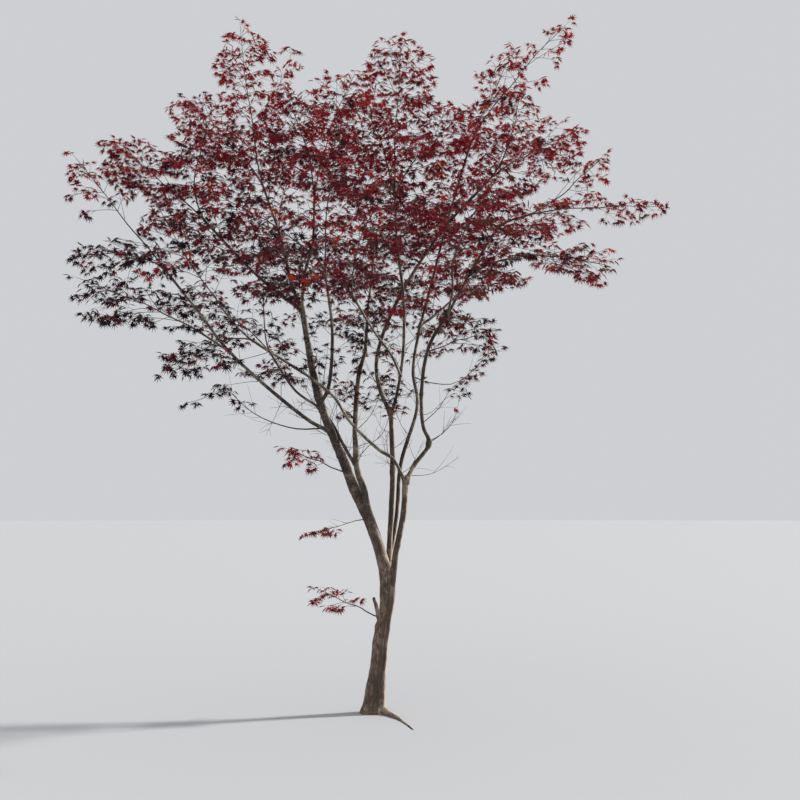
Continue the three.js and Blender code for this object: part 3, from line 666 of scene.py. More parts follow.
TWIGS: tuple[TwigPlan, ...] = tuple(TwigPlan(*row) for row in (
    (6.5, ((-400, 172, 2145), (-611, 60, 2135), (-858, -60, 2211), (-995, -130, 2306), (-1092, -190, 2400),
     (-1240, -250, 2350)), 4),
    (3.2, ((-700, 22, 2362), (-750, -40, 2230), (-815, -100, 2070)), 0),
    (5.0, ((310, 376, 2577), (400, 320, 2530), (476, 250, 2508), (607, 200, 2497), (737, 150, 2565),
     (864, 100, 2700)), 2),
    (3.6, ((-130, 60, 1900), (-30, 20, 2010), (60, -20, 2080), (120, -30, 2230)), 2),
    (3.4, ((140, 100, 2330), (40, 60, 2350), (-60, 20, 2335), (-130, 0, 2290)), 1),
    (3.8, ((430, 60, 2040), (520, 40, 2090), (610, 10, 2190), (650, 0, 2330)), 1),
    (3.6, ((378, 56, 2180), (500, 20, 2290), (590, -40, 2430), (700, -60, 2520)), 2),
    (4.2, ((-40, 66, 1440), (-130, 20, 1430), (-240, -40, 1395), (-330, -90, 1370)), 3),
    (3.6, ((-290, 168, 2040), (-330, 120, 2150), (-300, 60, 2290), (-220, 20, 2400)), 3),
    (3.6, ((-340, 170, 2160), (-470, 150, 2330), (-560, 120, 2480), (-700, 110, 2560)), 3),
    (3.2, ((-152, 130, 2120), (-60, 100, 2200), (20, 60, 2330), (50, 40, 2480)), 2),
    (4.5, ((-1010, 560, 4600), (-920, 500, 4860), (-800, 450, 5040), (-730, 430, 5180)), 6),
    (4.5, ((-930, 620, 4180), (-800, 420, 4380), (-690, 300, 4520), (-640, 200, 4700)), 6),
    (4.5, ((-905, 600, 4050), (-860, 350, 4200), (-830, 50, 4250), (-800, -200, 4330)), 7),
    (4.0, ((-800, 500, 3800), (-760, 250, 3960), (-680, 0, 4060), (-650, -150, 4100)), 7),
    (4.0, ((-1100, 245, 3540), (-1300, 100, 3600), (-1480, 0, 3690), (-1640, -60, 3740)), 6),
    (4.0, ((-1250, 280, 3690), (-1430, 160, 3790), (-1600, 60, 3900), (-1700, 0, 3980)), 6),
    (4.0, ((-860, 550, 3950), (-980, 300, 4000), (-1080, 50, 4030), (-1100, -200, 4020)), 6),
))


@dataclass(frozen=True)
class Knob:
    """A swelling of the bark round an old wound or node."""

    place: Place
    height: float
    reach: float

    def swell(self, points: Vec, nearest: Vec, flattening: Place = (1, 1, 1)) -> None:
        """Pushes the points near the knob outward.

        Args:
            points: The limb's points, which are changed.
            nearest: The point of the limb's middle line that is nearest to the knob.
            flattening: How far the push counts along each axis.
        """
        rise = self.height * np.exp(-(np.linalg.norm(points - self.place, axis=1) / self.reach) ** 2)
        outward = (points - nearest) * flattening
        points += outward / np.maximum(np.linalg.norm(outward, axis=1), 1e-6)[:, None] * rise[:, None]


@dataclass
class BarkLimb:
    """One limb's own skin: a tapering tube with flutes, nodes and lumps, its foot sunk in its parent."""

    plan: LimbPlan
    route: Route
    seed: int
    swell_reach: float = 1.6
    foot_taper: float = 0.55
    sides: tuple[Span, ...] = ((20, 28), (12, 18), (0, 12))  # a foot's radius, and the sides from it up
    step: float = 24.0
    node_gap: float = 260
    node_height: Span = (0.04, 0.11)
    node_width: float = 16
    waves: Waves = (  # height, length, how much chance adds to that, and count round the limb
        (0.035, 900, 400, 2), (0.030, -700, -300, 3), (0.022, 210, 80, 1), (0.016, 95, 30, 2),
        (0.012, -60, -20, 3), (0.010, 2600, 0, 7), (0.008, -3400, 0, 11),
    )

    def __post_init__(self) -> None:
        """Settles how much the foot swells and how deep it is sunk."""
        self.swelling, self.sunk = (0.04, 90) if self.plan.parent == "trunk" else (0.55, 8)

    def radius(self, share: Vec) -> Vec:
        """Gives back the limb's radius: an even taper with a swollen foot.

        Args:
            share: The shares of the length.

        Returns:
            The radius at each of them.
        """
        foot_radius = self.plan.foot_radius
        swollen = self.swelling * np.exp(-share * self.route.length / (self.swell_reach * foot_radius))
        return mix(foot_radius, self.plan.tip_radius, share) * (1 + swollen)

    def relief(self, along: Vec, turn: Vec) -> Vec:
        """Gives back how far the bark stands out.

        Args:
            along: How far along the limb each point is.
            turn: Its angle round the limb.

        Returns:
            The height at each point, as a share of the radius.
        """
        luck, length = chance(7, self.seed), self.route.length
        phases = luck.uniform(0, TURN, 8)
        waves = [
            (height, reach + spread * luck.random() if spread else reach, count, phase)
            for (height, reach, spread, count), phase in zip(self.waves, phases)
        ]
        rise = ripple(along, turn, waves)
        for node in luck.uniform(0.1, 0.95, max(1, int(length / self.node_gap))):
            off = (along - node * length) / self.node_width
            rise = rise + luck.uniform(*self.node_height) * np.exp(-(off**2))
        return rise

    def add_to(self, skin: Skin, knobs: Iterable[Knob]) -> None:
        """Adds the limb to a skin.

        Args:
            skin: What the limb is added to.
            knobs: The swellings of all the boughs, of which the limb takes those that lie on it.
        """
        foot_radius, length = self.plan.foot_radius, self.route.length
        sides = next(count for least, count in self.sides if foot_radius > least)
        share = np.linspace(0, 1, max(6, int(length / self.step)))
        middles = self.route.at(share)
        middles = np.vstack([middles[0] - self.route.heading(0.0) * self.sunk, middles])
        along = np.concatenate([[-self.sunk], share * length])[:, None]
        relief = 1 + self.relief(along, around(sides))
        radii = self.radius(np.concatenate([[0.0], share]))[:, None] * relief
        radii[0] *= self.foot_taper
        skin.tube(middles, radii, sides)
        for knob in knobs:
            away = np.linalg.norm(middles - knob.place, axis=1)
            if away.min() <= knob.reach + foot_radius * 1.5:
                knob.swell(skin.vertices[-1], middles[np.argmin(away)])


@dataclass(frozen=True)
class Offshoot:
    """A root or stub on the trunk: its places, its radius at foot and tip, how that tapers, and its lumps."""

    places: tuple[Place, ...]
    radius: Span
    taper: float
    rings: int
    sides: int
    lumps: Waves

    def add_to(self, skin: Skin) -> None:
        """Adds it to the trunk's skin.

        Args:
            skin: The skin.
        """
        route, share = Route.through(self.places), np.linspace(0, 1, self.rings)
        lumps = ripple(share[:, None] * route.length, around(self.sides), self.lumps)
        skin.tube(route.at(share), mix(*self.radius, share**self.taper)[:, None] * (1 + lumps), self.sides)


@dataclass
class Trunk:
    """The trunk: fluted, leaning, with a ridged root flare, a groove up its front, a root and a stub.

    Heights of the relief are shares of the radius. At the front a turn is pi, and at the right 1.5 pi.
    """

    places: tuple[Place, ...] = (
        (-2, 0, -40), (15, 0, 165), (38, 0, 350), (52, 0, 535), (90, 0, 720), (106, 0, 840), (108, 0, 950),
    )
    radii: tuple[float, ...] = (78, 73, 65, 58, 49, 57, 58)
    sides: int = 96
    step: float = 10
    flare_height: float = 75
    flare_spread: float = 0.34
    ridges: int = 5
    ridge_depth: float = 0.256
    flutes: Waves = (
        (0.040, 1500, 2, 0.4), (0.030, -1100, 3, 1.9), (0.018, 2300, 5, 0.8), (0.014, 190, 1, 2.0),
        (0.012, -120, 2, 0.3), (0.009, 70, 3, 1.1), (0.007, -5000, 13, 0.6), (0.006, 3800, 19, 2.6),
    )
    cleft_turn: float = 3.56
    cleft_twist: float = 0.00024
    cleft_wander: tuple[Place, ...] = ((0.09, 70, 0), (0.05, 31, 1))
    cleft_depth: float = 0.11
    cleft_widths: Span = (0.85, 0.24)  # on its gentle and on its steep side
    rib_turn: float = 0.52
    rib_width: float = 0.29
    rib_height: float = 0.16
    rib_end: Span = (900, 260)  # its top, and how far below it starts to fade
    dome: Span = (925, 52)  # where the top rounds off, and over what height
    dome_share: float = 0.8
    knobs: tuple[Knob, ...] = (
        Knob((20, -20, 640), 13, 30), Knob((95, -48, 905), 9, 34), Knob((60, 40, 420), 8, 30),
        Knob((70, -50, 300), 6, 26), Knob((-48, -20, 210), 8, 30),
    )
    offshoots: tuple[Offshoot, ...] = (
        Offshoot(
            places=((20, -10, 70), (105, -90, 18), (195, -280, -1), (290, -640, -14)),
            radius=(28, 6), taper=0.7, rings=60, sides=20,
            lumps=((0.09, 260, 1, 0.2), (0.05, 110, 2, 1.4), (0.03, -70, 3, 2.2)),
        ),
        Offshoot(
            places=((74, -12, 640), (46, -24, 690), (30, -30, 760), (2, -34, 850)),
            radius=(24, 11), taper=1, rings=12, sides=14,
            lumps=((0.10, 60, 1, 0.5), (0.06, 34, 2, 1.1)),
        ),
    )

    def relief(self, height: Vec) -> Vec:
        """Gives back how far the bark stands out.

        Args:
            height: The height of each ring of points.

        Returns:
            The radius at each side of each ring, as a share of the plain one.
        """
        turn, above = around(self.sides), np.maximum(height, 0)
        flare = self.flare_spread * np.exp(-above / self.flare_height)[:, None]
        ridge = 1 + self.ridge_depth * np.cos(self.ridges * turn + 0.5)
        wander = sum(size * np.sin(above / length + phase) for size, length, phase in self.cleft_wander)
        off_cleft = turn - self.cleft_turn - (self.cleft_twist * above + wander)[:, None]
        fading = np.clip((self.rib_end[0] - above) / self.rib_end[1], 0, 1)[:, None]
        rib = self.rib_height * fading * np.exp(-(((off_cleft - self.rib_turn) / self.rib_width) ** 2))
        depth = self.cleft_depth * (0.75 + 0.25 * np.sin(above / 55 + 0.7))[:, None]
        cleft = depth * np.exp(-((off_cleft / np.where(off_cleft < 0, *self.cleft_widths)) ** 2))
        return 1 + flare * ridge + ripple(above[:, None], turn, self.flutes) + rib - cleft

    def build(self, material: Material) -> bpy.types.Object:
        """Builds the trunk, its root and its stub as one piece.

        Args:
            material: The bark.

        Returns:
            The piece.
        """
        skin, route = Skin(), Route.through(self.places)
        middles = route.at(np.linspace(0, 1, int(route.length / self.step)))
        height = middles[:, 2]
        radii = np.interp(height, [place[2] for place in self.places], self.radii)[:, None]
        top = np.clip((height - self.dome[0]) / self.dome[1], 0, 1)[:, None]
        radii = radii * self.relief(height) * np.sqrt(1 - (top * self.dome_share) ** 2)
        skin.tube(middles, radii, self.sides)
        for knob in self.knobs:
            nearest = middles[np.argmin(np.abs(height - knob.place[2]))]
            knob.swell(skin.vertices[0], nearest, (1, 1, 0.2))
        for offshoot in self.offshoots:
            offshoot.add_to(skin)
        for points in skin.vertices:
            points[:, 2] = np.maximum(points[:, 2], 0)
        return skin.to_piece("trunk_bark", material, "bark", ["trunk"])


@dataclass
class Boughs:
    """Every stem and bough, each with its foot sunk in the limb that bears it."""

    knobs: tuple[Knob, ...] = (
        Knob((424, 50, 2020), 14, 34), Knob((438, 46, 2000), 8, 20), Knob((196, -66, 1330), 12, 18),
        Knob((214, -64, 1395), 11, 16), Knob((190, -30, 1240), 6, 22), Knob((-60, 60, 1500), 12, 50),
        Knob((-165, 100, 1690), 9, 36), Knob((-232, 130, 1870), 11, 36), Knob((-140, 40, 1930), 9, 30),
        Knob((-445, 196, 2395), 8, 34), Knob((366, 36, 2400), 6, 26), Knob((136, 110, 1800), 6, 30),
        Knob((244, -54, 1735), 10, 36), Knob((132, 146, 2270), 8, 32), Knob((124, 60, 1180), 7, 34),
    )

    def __post_init__(self) -> None:
        """Works out every limb's route."""
        self.plans = {plan.name: plan for plan in LIMBS}
        self.routes = {plan.name: Route.through(plan.places) for plan in LIMBS}

    def build(self, material: Material) -> bpy.types.Object:
        """Builds all the limbs as one piece.

        Args:
            material: The bark.

        Returns:
            The piece.
        """
        skin = Skin()
        for index, plan in enumerate(LIMBS):
            BarkLimb(plan, self.routes[plan.name], index).add_to(skin, self.knobs)
        return skin.to_piece("boughs_bark", material, "bark", self.plans)

    def samples(self) -> tuple[Vec, Vec]:
        """Samples every limb.

        Returns:
            Points along the limbs, and the radius at each.
        """
        share = np.linspace(0, 1, 80)
        points = np.vstack([route.at(share) for route in self.routes.values()])
        return points, np.concatenate([mix(plan.foot_radius, plan.tip_radius, share) for plan in LIMBS])


class Leaf(NamedTuple):
    """One leaf: its stalk's foot, its heading, its upper side, its size, its stalk's length and its tint."""

    root: Vec
    heading: Vec
    normal: Vec
    size: float
    stalk: float
    tint: Tint


@dataclass
class LeafBed:
    """All the leaves: seven-lobed stars on thin stalks, kept as places and directions until they are made."""

    lobes: tuple[Span, ...] = (  # the angle and the length of each
        (-2.05, 0.46), (-1.22, 0.78), (-0.58, 0.96), (0.0, 1.06), (0.58, 0.96), (1.22, 0.78), (2.05, 0.46),
    )
    heel: Span = (2.75, 0.13)  # the same for the blade's rear corners
    notch: float = 0.27
    notch_lift: float = 0.05
    droop: float = 0.20
    stalk_half_width: float = 0.9
    clearance: float = 14
    most_in_cell: int = 12
    cell: Place = (170, 170, 120)
    batch: int = 2000
    leaves: list[Leaf] = field(default_factory=list)

    def template(self) -> tuple[Vec, Vec]:
        """Gives back a leaf's shape for a middle lobe 1 long.

        Returns:
            Its points, ahead, aside and above, and the triangles between them.
        """
        turn, length = self.heel
        rim = [(-turn, length, 0.0)]
        for (angle, reach), (following, _) in zip(self.lobes, (*self.lobes[1:], self.heel)):
            rim.append((angle, reach, -self.droop * reach**2))
            rim.append(((angle + following) / 2, self.notch, self.notch_lift))
        rim[-1] = (turn, length, 0.0)
        points = [(0.0, 0.0, 0.0), *((r * math.cos(a), r * math.sin(a), z) for a, r, z in rim)]
        return np.array(points), np.array([(0, i, i + 1) for i in range(1, len(rim))])

    def thin_out(self, points: Vec, radii: Vec) -> None:
        """Drops the leaves that would touch a limb, and those that crowd in the crown's shade.

        Args:
            points: Points along the limbs.
            radii: The limbs' radii there.
        """
        middles = np.array(
            [leaf.root + leaf.heading * (leaf.stalk + leaf.size * 0.3) for leaf in self.leaves]
        )
        clear = []
        for start in range(0, len(middles), self.batch):
            apart = np.linalg.norm(middles[start : start + self.batch, None] - points, axis=2) - radii
            clear.extend(apart.min(axis=1) > self.clearance)
        free = [leaf for leaf, kept in zip(self.leaves, clear) if kept]
        held: dict[tuple[int, ...], int] = {}
        self.leaves = []
        for number in chance(300).permutation(len(free)):
            place = tuple(int(part) for part in free[number].root // self.cell)
            held[place] = held.get(place, 0) + 1
            if held[place] <= self.most_in_cell:
                self.leaves.append(free[number])
        LOG.info("leaves shed: %d, leaves in all: %d", len(free) - len(self.leaves), len(self.leaves))

    def build(self, nodes: Sequence[str]) -> Iterator[bpy.types.Object]:
        """Builds the leaves, one piece for each tint.

        Args:
            nodes: The nodes that the leaves stand for.

        Yields:
            The pieces.
        """
        shape, triangles = self.template()
        count = len(shape)
        triangles = np.vstack([triangles, [[count, count + 1, count + 2]]])
        for tint in Tint:
            *columns, _ = zip(*(leaf for leaf in self.leaves if leaf.tint is tint))
            root, heading, normal, size, stalk = (np.array(column) for column in columns)
            aside = np.cross(normal, heading)
            middle = root + heading * stalk[:, None]
            width = aside * self.stalk_half_width
            stem = np.stack([root - width, root + width, middle], axis=1)
            blade = middle[:, None]
            for part, side in enumerate((heading, aside, normal)):
                blade = blade + size[:, None, None] * shape[:, part, None] * side[:, None]
            points = np.concatenate([blade, stem], axis=1)
            numbers = (np.arange(len(root)) * (count + 3))[:, None, None] + triangles
            skin = Skin()
            skin.add(points.reshape(-1, 3), numbers.reshape(-1, 3))
            name = tint.value.name.replace("leaf", "leaves")
            yield skin.to_piece(name, tint.value.material(), "foliage", nodes, smooth=False)


@dataclass
class Crown:
    """The crown: stems, twigs, shoots and leaves that grow on from the limbs within each mass's own space.

    Unless its comment says otherwise, a Span is the least and the most that chance gives, or a radius at foot
    and tip. A lean is how much a side twig keeps of its parent's heading, and a flattening is how much of
    each axis is left to it.
    """

    boughs: Boughs
    reach_share: float = 1.08
    side_share: float = 1.4
    axis: Place = (-100, 100, 0)
    cell_flattening: Place = (1, 1, 1.6)  # foliage lies in level layers, so upright distances count for more
    node_gap: float = 66.0
    node_least: float = 0.6  # the share of the nodes that the thinnest mass keeps
    shoot_gap: float = 54.0
    leaf_gap: float = 47.0
    leaf_size: Span = (35.0, 55.0)
    leaf_hang: Span = (-0.95, 0.0)
    leaf_sway: float = 0.25
    leaf_tilt: float = 0.48
    leaf_lean: float = 0.55
    pair_turn: float = 0.35
    leaf_share: float = 0.93
    stalk: Span = (18.0, 34.0)
    stem_radius: Span = (7.5, 2.0)
    stem_shift: Span = (8, -12)  # how far past the side place, and past the limb's end, a stem starts
    stem_stoutness: Place = (0.8, 0.95, 0.8)  # at a limb's side, alone at its end, and with others there
    stem_fan: float = 0.35
    stem_pull: float = 0.3
    stem_ring: float = 60
    stem_sides: int = 5
    stem_taper: float = 0.8
    stem_turn: float = 0.3
    stem_bare: Span = (0.1, 0.3)  # the least bare share of a stem at a limb's end and at its side
    stem_least: float = 20.0
    stem_end: float = 75  # how far inside the rim a stem ends
    stem_sway: float = 8
    stem_wander: Place = (9, 11, 13)  # how fast it sways along each axis
    twig_radius: Span = (2.8, 1.3)
    shoot_radius: Span = (1.4, 0.8)
    shoot_sag: Span = (0.02, 0.16)
    shoot_lift: Span = (-0.10, 0.14)
    shoot_reach: Span = (0.3, 0.62)
    shoot_lengths: Span = (42, 190)
    shoot_lean: float = 0.75
    end_shoot: float = 60
    shoot_turn: float = 0.32
    shoot_flattening: Place = (1, 1, 0.55)
    missing_shoots: float = 0.12
    own_tint: float = 0.45
    last_node: float = 0.97
    short_twig: Span = (0.7, 350)  # how stout a short one is, and the length from which a twig is fully stout
    rim_lean: Span = (0.7, 1.15)
    rim_flattening: Place = (1, 1, 0.62)
    rim_lift: float = 0.06
    rim_most: float = 1.6
    rim_tries: int = 3  # how often a twig that ends in another mass's space is made shorter
    rim_shrink: float = 0.7
    rim_follow: float = 0.4
    rim_margin: float = 62
    rim_steps: Span = (40.0, 15)  # where a twig's search for the rim starts, and by how much it goes on
    rim_reach: Span = (0.62, 1.0)
    rim_sag: Span = (0.02, 0.12)
    rim_bare: Span = (0.7, 0.18)  # how far out a twig of a thin and of a full mass is bare
    bridging_start: float = 30.0
    bridging_least: float = 0.4  # how fully the thinnest mass's stem is in leaf
    bridging_lean: float = 0.8
    bridging_gap: Span = (48, 90)
    bridging_length: Span = (180, 400)
    bridging_sag: Span = (0.0, 0.1)
    bridging_flattening: Place = (1, 1, 0.6)
    leafy_gap: Span = (50, 105)
    leafy_length: Span = (170, 430)
    bare_gap: Span = (90, 220)
    bare_length: Span = (120, 460)
    bare_above: float = 1700.0  # below this height a limb has no twigs at all
    limb_ends: Span = (60.0, 20)  # how much of a limb's foot and of its tip has no twigs
    limb_lean: float = 0.7
    limb_lift: float = 0.15
    limb_bend: Span = (-0.12, 0.10)
    bare_twig_radius: Span = (2.4, 0.9)
    bare_lift: Span = (-0.18, 0.30)
    tufted_share: float = 0.45
    tufted_above: float = 2250
    side_node: Span = (0.25, 0.92)
    side_spread: float = 0.8
    side_lengths: Span = (40, 220.0)
    side_reach: Span = (0.4, 0.8)
    side_bend: Span = (-0.15, 0.35)
    side_radius: Span = (1.4, 0.7)
    side_tufts: float = 0.6
    tuft_lengths: tuple[Span, ...] = ((30, 80), (40, 110), (60, 110), (110, 190))  # side, end and long twigs'
    tuft_gap: float = 0.13
    low_red: float = 2000.0
    light_from: Place = (-100, 0, 2600)
    light_over: Place = (2200, 1900, 2800)  # how far from there each share of the light is in full
    light_shares: tuple[float, ...] = (0.13, 0.80, 0.30, 0.05)  # everywhere, and by height, side and distance
    light_spread: float = 0.21
    low_light: Span = (0.55, 0.15)  # the mean and the spread
    light_steps: Span = (0.6, 5.2)  # the tint's number without light, and what full light adds
    bronze_share: float = 0.45
    bronze_below: Span = (3750, 1400)  # the height where bronze starts, and over what drop it comes in full
    orange_share: float = 0.07

    def __post_init__(self) -> None:
        """Sets out what is gathered, and a source of chance, which each part sets anew."""
        self.wood, self.bed, self.luck = Skin(), LeafBed(), chance()
        self.middles = np.array([plan.middle for plan in MASSES], float)

    def in_cell(self, point: Vec, index: int) -> bool:
        """Tells whether a point is nearer to a mass's middle than to any other's."""
        off = (self.middles - point) * self.cell_flattening
        return int(np.argmin((off**2).sum(axis=1))) == index

    def rim_share(self, plan: MassPlan, point: Vec, margin: float = 0.0) -> float:
        """Tells how far out a point is in a mass's space, which is 1 at its rim.

        Args:
            plan: The mass.
            point: The point.
            margin: How far inside the real rim the rim is taken to be.

        Returns:
            The share.
        """
        spread, rise = plan.spread * self.reach_share - margin, plan.rise * self.reach_share - margin * 0.4
        off = point - np.array(plan.middle)
        outward = unit((np.array(plan.middle) - self.axis) * (1, 1, 0))
        ahead = float(off @ outward) / spread
        aside = float(off @ np.cross(UP, outward)) / (spread * self.side_share)
        return math.sqrt(ahead**2 + aside**2 + (off[2] / rise) ** 2)

    def tint_at(self, point: Vec) -> Tint:
        """Deals out a spray's tint: brighter high up, at the right and outside, dark low down and inside.

        Args:
            point: The spray's place.

        Returns:
            The tint.
        """
        off, luck = point - self.light_from, self.luck
        right, _, height = off / self.light_over
        outside = math.hypot(off[0], off[1]) / self.light_over[1]
        base, by_height, by_side, by_distance = self.light_shares
        light = base + by_height * height + by_side * right * (1 - height) + by_distance * outside
        light += luck.normal(0, self.light_spread)
        low = np.clip((self.bronze_below[0] - point[2]) / self.bronze_below[1], 0, 1)
        if point[2] < self.low_red:
            light = luck.normal(*self.low_light)
        elif luck.random() < self.bronze_share * low * np.clip(0.5 + right, 0, 1):
            return Tint.BRONZE
        if light > 0.3 and luck.random() < self.orange_share:
            return Tint.ORANGE_RED
        scale = [Tint.PURPLE_BLACK, Tint.MAROON, Tint.WINE, Tint.DARK_RED, Tint.CRIMSON, Tint.BRIGHT_CRIMSON]
        return scale[int(np.clip(light * self.light_steps[1] + self.light_steps[0], 0, len(scale) - 1))]

    def add_wood(self, route: Route, rings: int, foot: float, tip: float, sides: int = 3) -> None:
        """Adds a twig's own wood, which tapers from the radius at its foot to that at its tip."""
        share = np.linspace(0, 1, rings)
        self.wood.tube(route.at(share), mix(foot, tip, share), sides)

    def add_leaf(self, root: Vec, heading: Vec, tint: Tint) -> None:
        """Adds a leaf that points along a heading, hanging a little.

        Args:
            root: Where its stalk leaves the twig.
            heading: Roughly which way it points.
            tint: Its tint.
        """
        luck, sway = self.luck, self.leaf_sway
        pointing = heading + [luck.normal(0, sway), luck.normal(0, sway), luck.uniform(*self.leaf_hang)]
        pointing = unit(pointing)
        normal = UP + luck.normal(0, self.leaf_tilt, 3)
        normal = unit(normal - pointing * float(normal @ pointing))
        size = luck.uniform(*self.leaf_size)
        self.bed.leaves.append(Leaf(root, pointing, normal, size, luck.uniform(*self.stalk), tint))

    def add_pair(self, root: Vec, along: Vec, tint: Tint) -> None:
        """Adds a pair of leaves on both sides of a twig.

        Args:
            root: Their place on the twig.
            along: The twig's heading there.
            tint: Their tint.
        """
        aside = beside(along, self.luck.normal(0, self.pair_turn))
        for hand in (-1, 1):
            if self.luck.random() < self.leaf_share:
                self.add_leaf(root, unit(along * self.leaf_lean + aside * hand), tint)

    def grow_shoot(self, foot: Vec, heading: Vec, length: float, tint: Tint) -> None:
        """Grows one shoot: a thin twig with pairs of leaves and a tuft at its end.

        Args:
            foot: Where it starts.
            heading: Which way it starts.
            length: How long it is.
            tint: Its leaves' tint.
        """
        sag = UP * -length * self.luck.uniform(*self.shoot_sag)
        route = Route.bent(foot, heading, foot + heading * length + sag, 0.5)
        self.add_wood(route, 3, *self.shoot_radius)
        pairs = max(1, int(length / self.leaf_gap))
        for node in np.linspace(1.0 / pairs, 1.0, pairs):
            self.add_pair(route.at(node), route.heading(node), tint)
        self.add_leaf(route.at(1.0), route.heading(1.0), tint)

    def grow_twig(self, foot: Vec, heading: Vec, tip: Vec, fullness: float, leafy: float = 0.3) -> None:
        """Grows one twig with pairs of shoots, shorter towards its tip.

        Args:
            foot: Where it starts.
            heading: Which way it starts.
            tip: Where it ends.
            fullness: How closely the shoots stand.
            leafy: The share of the twig from which it bears shoots.
        """
        luck, route = self.luck, Route.bent(foot, heading, tip, 0.4)
        length = route.length
        stoutness = mix(self.short_twig[0], 1.0, min(1.0, length / self.short_twig[1]))
        self.add_wood(route, 3 + int(length / 110), *(radius * stoutness for radius in self.twig_radius))
        tint = self.tint_at(tip)
        nodes = max(1, int(length * (1 - leafy) * fullness / self.shoot_gap))
        for place in range(nodes):
            node = mix(leafy, self.last_node, (place + luck.uniform(0.1, 0.9)) / nodes)
            along = route.heading(node)
            aside = beside(along, luck.normal(0, self.shoot_turn))
            for hand in (-1, 1):
                if luck.random() < self.missing_shoots:
                    continue
                level = (along * self.shoot_lean + aside * hand) * self.shoot_flattening
                side_heading = unit(level + UP * luck.uniform(*self.shoot_lift))
                least, most = self.shoot_lengths
                reach = min(most, least + (1 - node) * length * luck.uniform(*self.shoot_reach))
                shade = tint if luck.random() < self.own_tint else self.tint_at(tip)
                self.grow_shoot(route.at(node), side_heading, reach, shade)
        self.add_pair(route.at(self.last_node), route.heading(1.0), tint)
        self.add_leaf(route.at(1.0), route.heading(1.0), tint)

    def stem_of(self, plan: MassPlan) -> tuple[Route, float]:
        """Gives back a mass's stem, from its limb through the middle of its space.

        Args:
            plan: The mass.

        Returns:
            The route and the radius at its foot.
        """
        middle, (by_side, alone, shared) = np.array(plan.middle, float), self.stem_stoutness
        if plan.side:
            heading = unit(middle - plan.side)
            foot, radius = plan.side + heading * self.stem_shift[0], self.stem_radius[0] * by_side
        else:
            limb, stout = self.boughs.routes[plan.limb], self.boughs.plans[plan.limb].tip_radius
            heading = limb.heading(1.0)
            foot, radius = limb.at(1.0) + heading * self.stem_shift[1], stout * alone
            if sum(other.limb == plan.limb and not other.side for other in MASSES) > 1:
                heading, radius = unit(heading + self.stem_fan * unit(middle - foot)), stout * shared
        outward = unit(middle - foot)
        extent = math.hypot(outward[0], outward[1]) * plan.spread + abs(outward[2]) * plan.rise
        tip = middle + outward * max(self.stem_least, extent - self.stem_end)
        return Route.bent(foot, heading, tip, self.stem_pull), radius

    def grow_mass(self, plan: MassPlan, index: int) -> None:
        """Grows one mass: its stem, pairs of twigs that reach for the rim of its space, and their shoots.

        Args:
            plan: The mass.
            index: Its number, from which its own chances and its first turn come.
        """
        self.luck = chance(index)
        route, radius = self.stem_of(plan)
        share = np.linspace(0, 1, 3 + int(route.length / self.stem_ring))
        sway = np.sin(share[:, None] * self.stem_wander + index) * self.stem_sway
        sway = np.sin(share * math.pi)[:, None] * sway
        radii = mix(radius, self.stem_radius[1], share**self.stem_taper)
        self.wood.tube(route.at(share) + sway, radii, self.stem_sides)
        inside = next((s for s in np.linspace(0, 1, 41) if self.rim_share(plan, route.at(s)) < 1), 0.5)
        first = max(inside, self.stem_bare[bool(plan.side)])
        if not plan.side:
            dress = self.boughs.plans[plan.limb].dress * mix(self.bridging_least, 1.0, plan.fullness)
            self.grow_bridging(route, first, dress)
        leafy_length = route.length * (self.last_node - first)
        nodes = max(2, round(leafy_length * mix(self.node_least, 1.0, plan.fullness) / self.node_gap))
        turn = index * GOLDEN_ANGLE
        for place in range(nodes):
            node = mix(first, self.last_node, (place + 0.5) / nodes)
            turn += math.pi / 2 + self.luck.normal(0, self.stem_turn)
            for opposite in (0.0, math.pi):
                self.grow_rim_twig(plan, index, route.at(node), route.heading(node), turn + opposite)
        self.grow_shoot(route.at(1.0), route.heading(1.0), self.end_shoot, self.tint_at(route.at(1.0)))

    def grow_bridging(self, route: Route, first: float, dress: float) -> None:
        """Grows leafy twigs on a stem between its bough and the space of its mass.

        Args:
            route: The stem.
            first: The share of the stem at which the mass begins.
            dress: How fully the stem is in leaf there.
        """
        luck, travelled = self.luck, self.bridging_start
        turn = luck.uniform(0, 6)
        while travelled < route.length * first:
            share = travelled / route.length
            foot, along = route.at(share), route.heading(share)
            travelled += luck.uniform(*self.bridging_gap) / dress
            turn += GOLDEN_ANGLE
            heading = unit(along * self.bridging_lean + beside(along, turn) * self.bridging_flattening)
            length = luck.uniform(*self.bridging_length)
            tip = foot + heading * length - UP * length * luck.uniform(*self.bridging_sag)
            self.grow_twig(foot, heading, tip, min(1.0, dress))

    def grow_rim_twig(self, plan: MassPlan, index: int, foot: Vec, along: Vec, turn: float) -> None:
        """Grows a twig from a mass's stem out to the rim of its space.

        Args:
            plan: The mass.
            index: Its number.
            foot: The twig's place on the stem.
            along: The stem's heading there.
            turn: The twig's turn round the stem.
        """
        luck, (reach, step) = self.luck, self.rim_steps
        lean = luck.uniform(*self.rim_lean)
        heading = along * math.cos(lean) + beside(along, turn) * math.sin(lean)
        heading = unit(heading * self.rim_flattening + UP * self.rim_lift)
        while (
            reach < plan.spread * self.rim_most
            and self.rim_share(plan, foot + heading * (reach + 20), self.rim_margin) < 1
        ):
            reach += step
        reach *= luck.uniform(*self.rim_reach) ** 0.8
        for _ in range(self.rim_tries):
            tip = foot + heading * reach - UP * reach * luck.uniform(*self.rim_sag)
            if self.in_cell(tip, index):
                break
            reach *= self.rim_shrink
        leafy = mix(*self.rim_bare, min(1.0, plan.fullness * 2))
        self.grow_twig(foot, unit(heading + along * self.rim_follow), tip, plan.fullness, leafy)

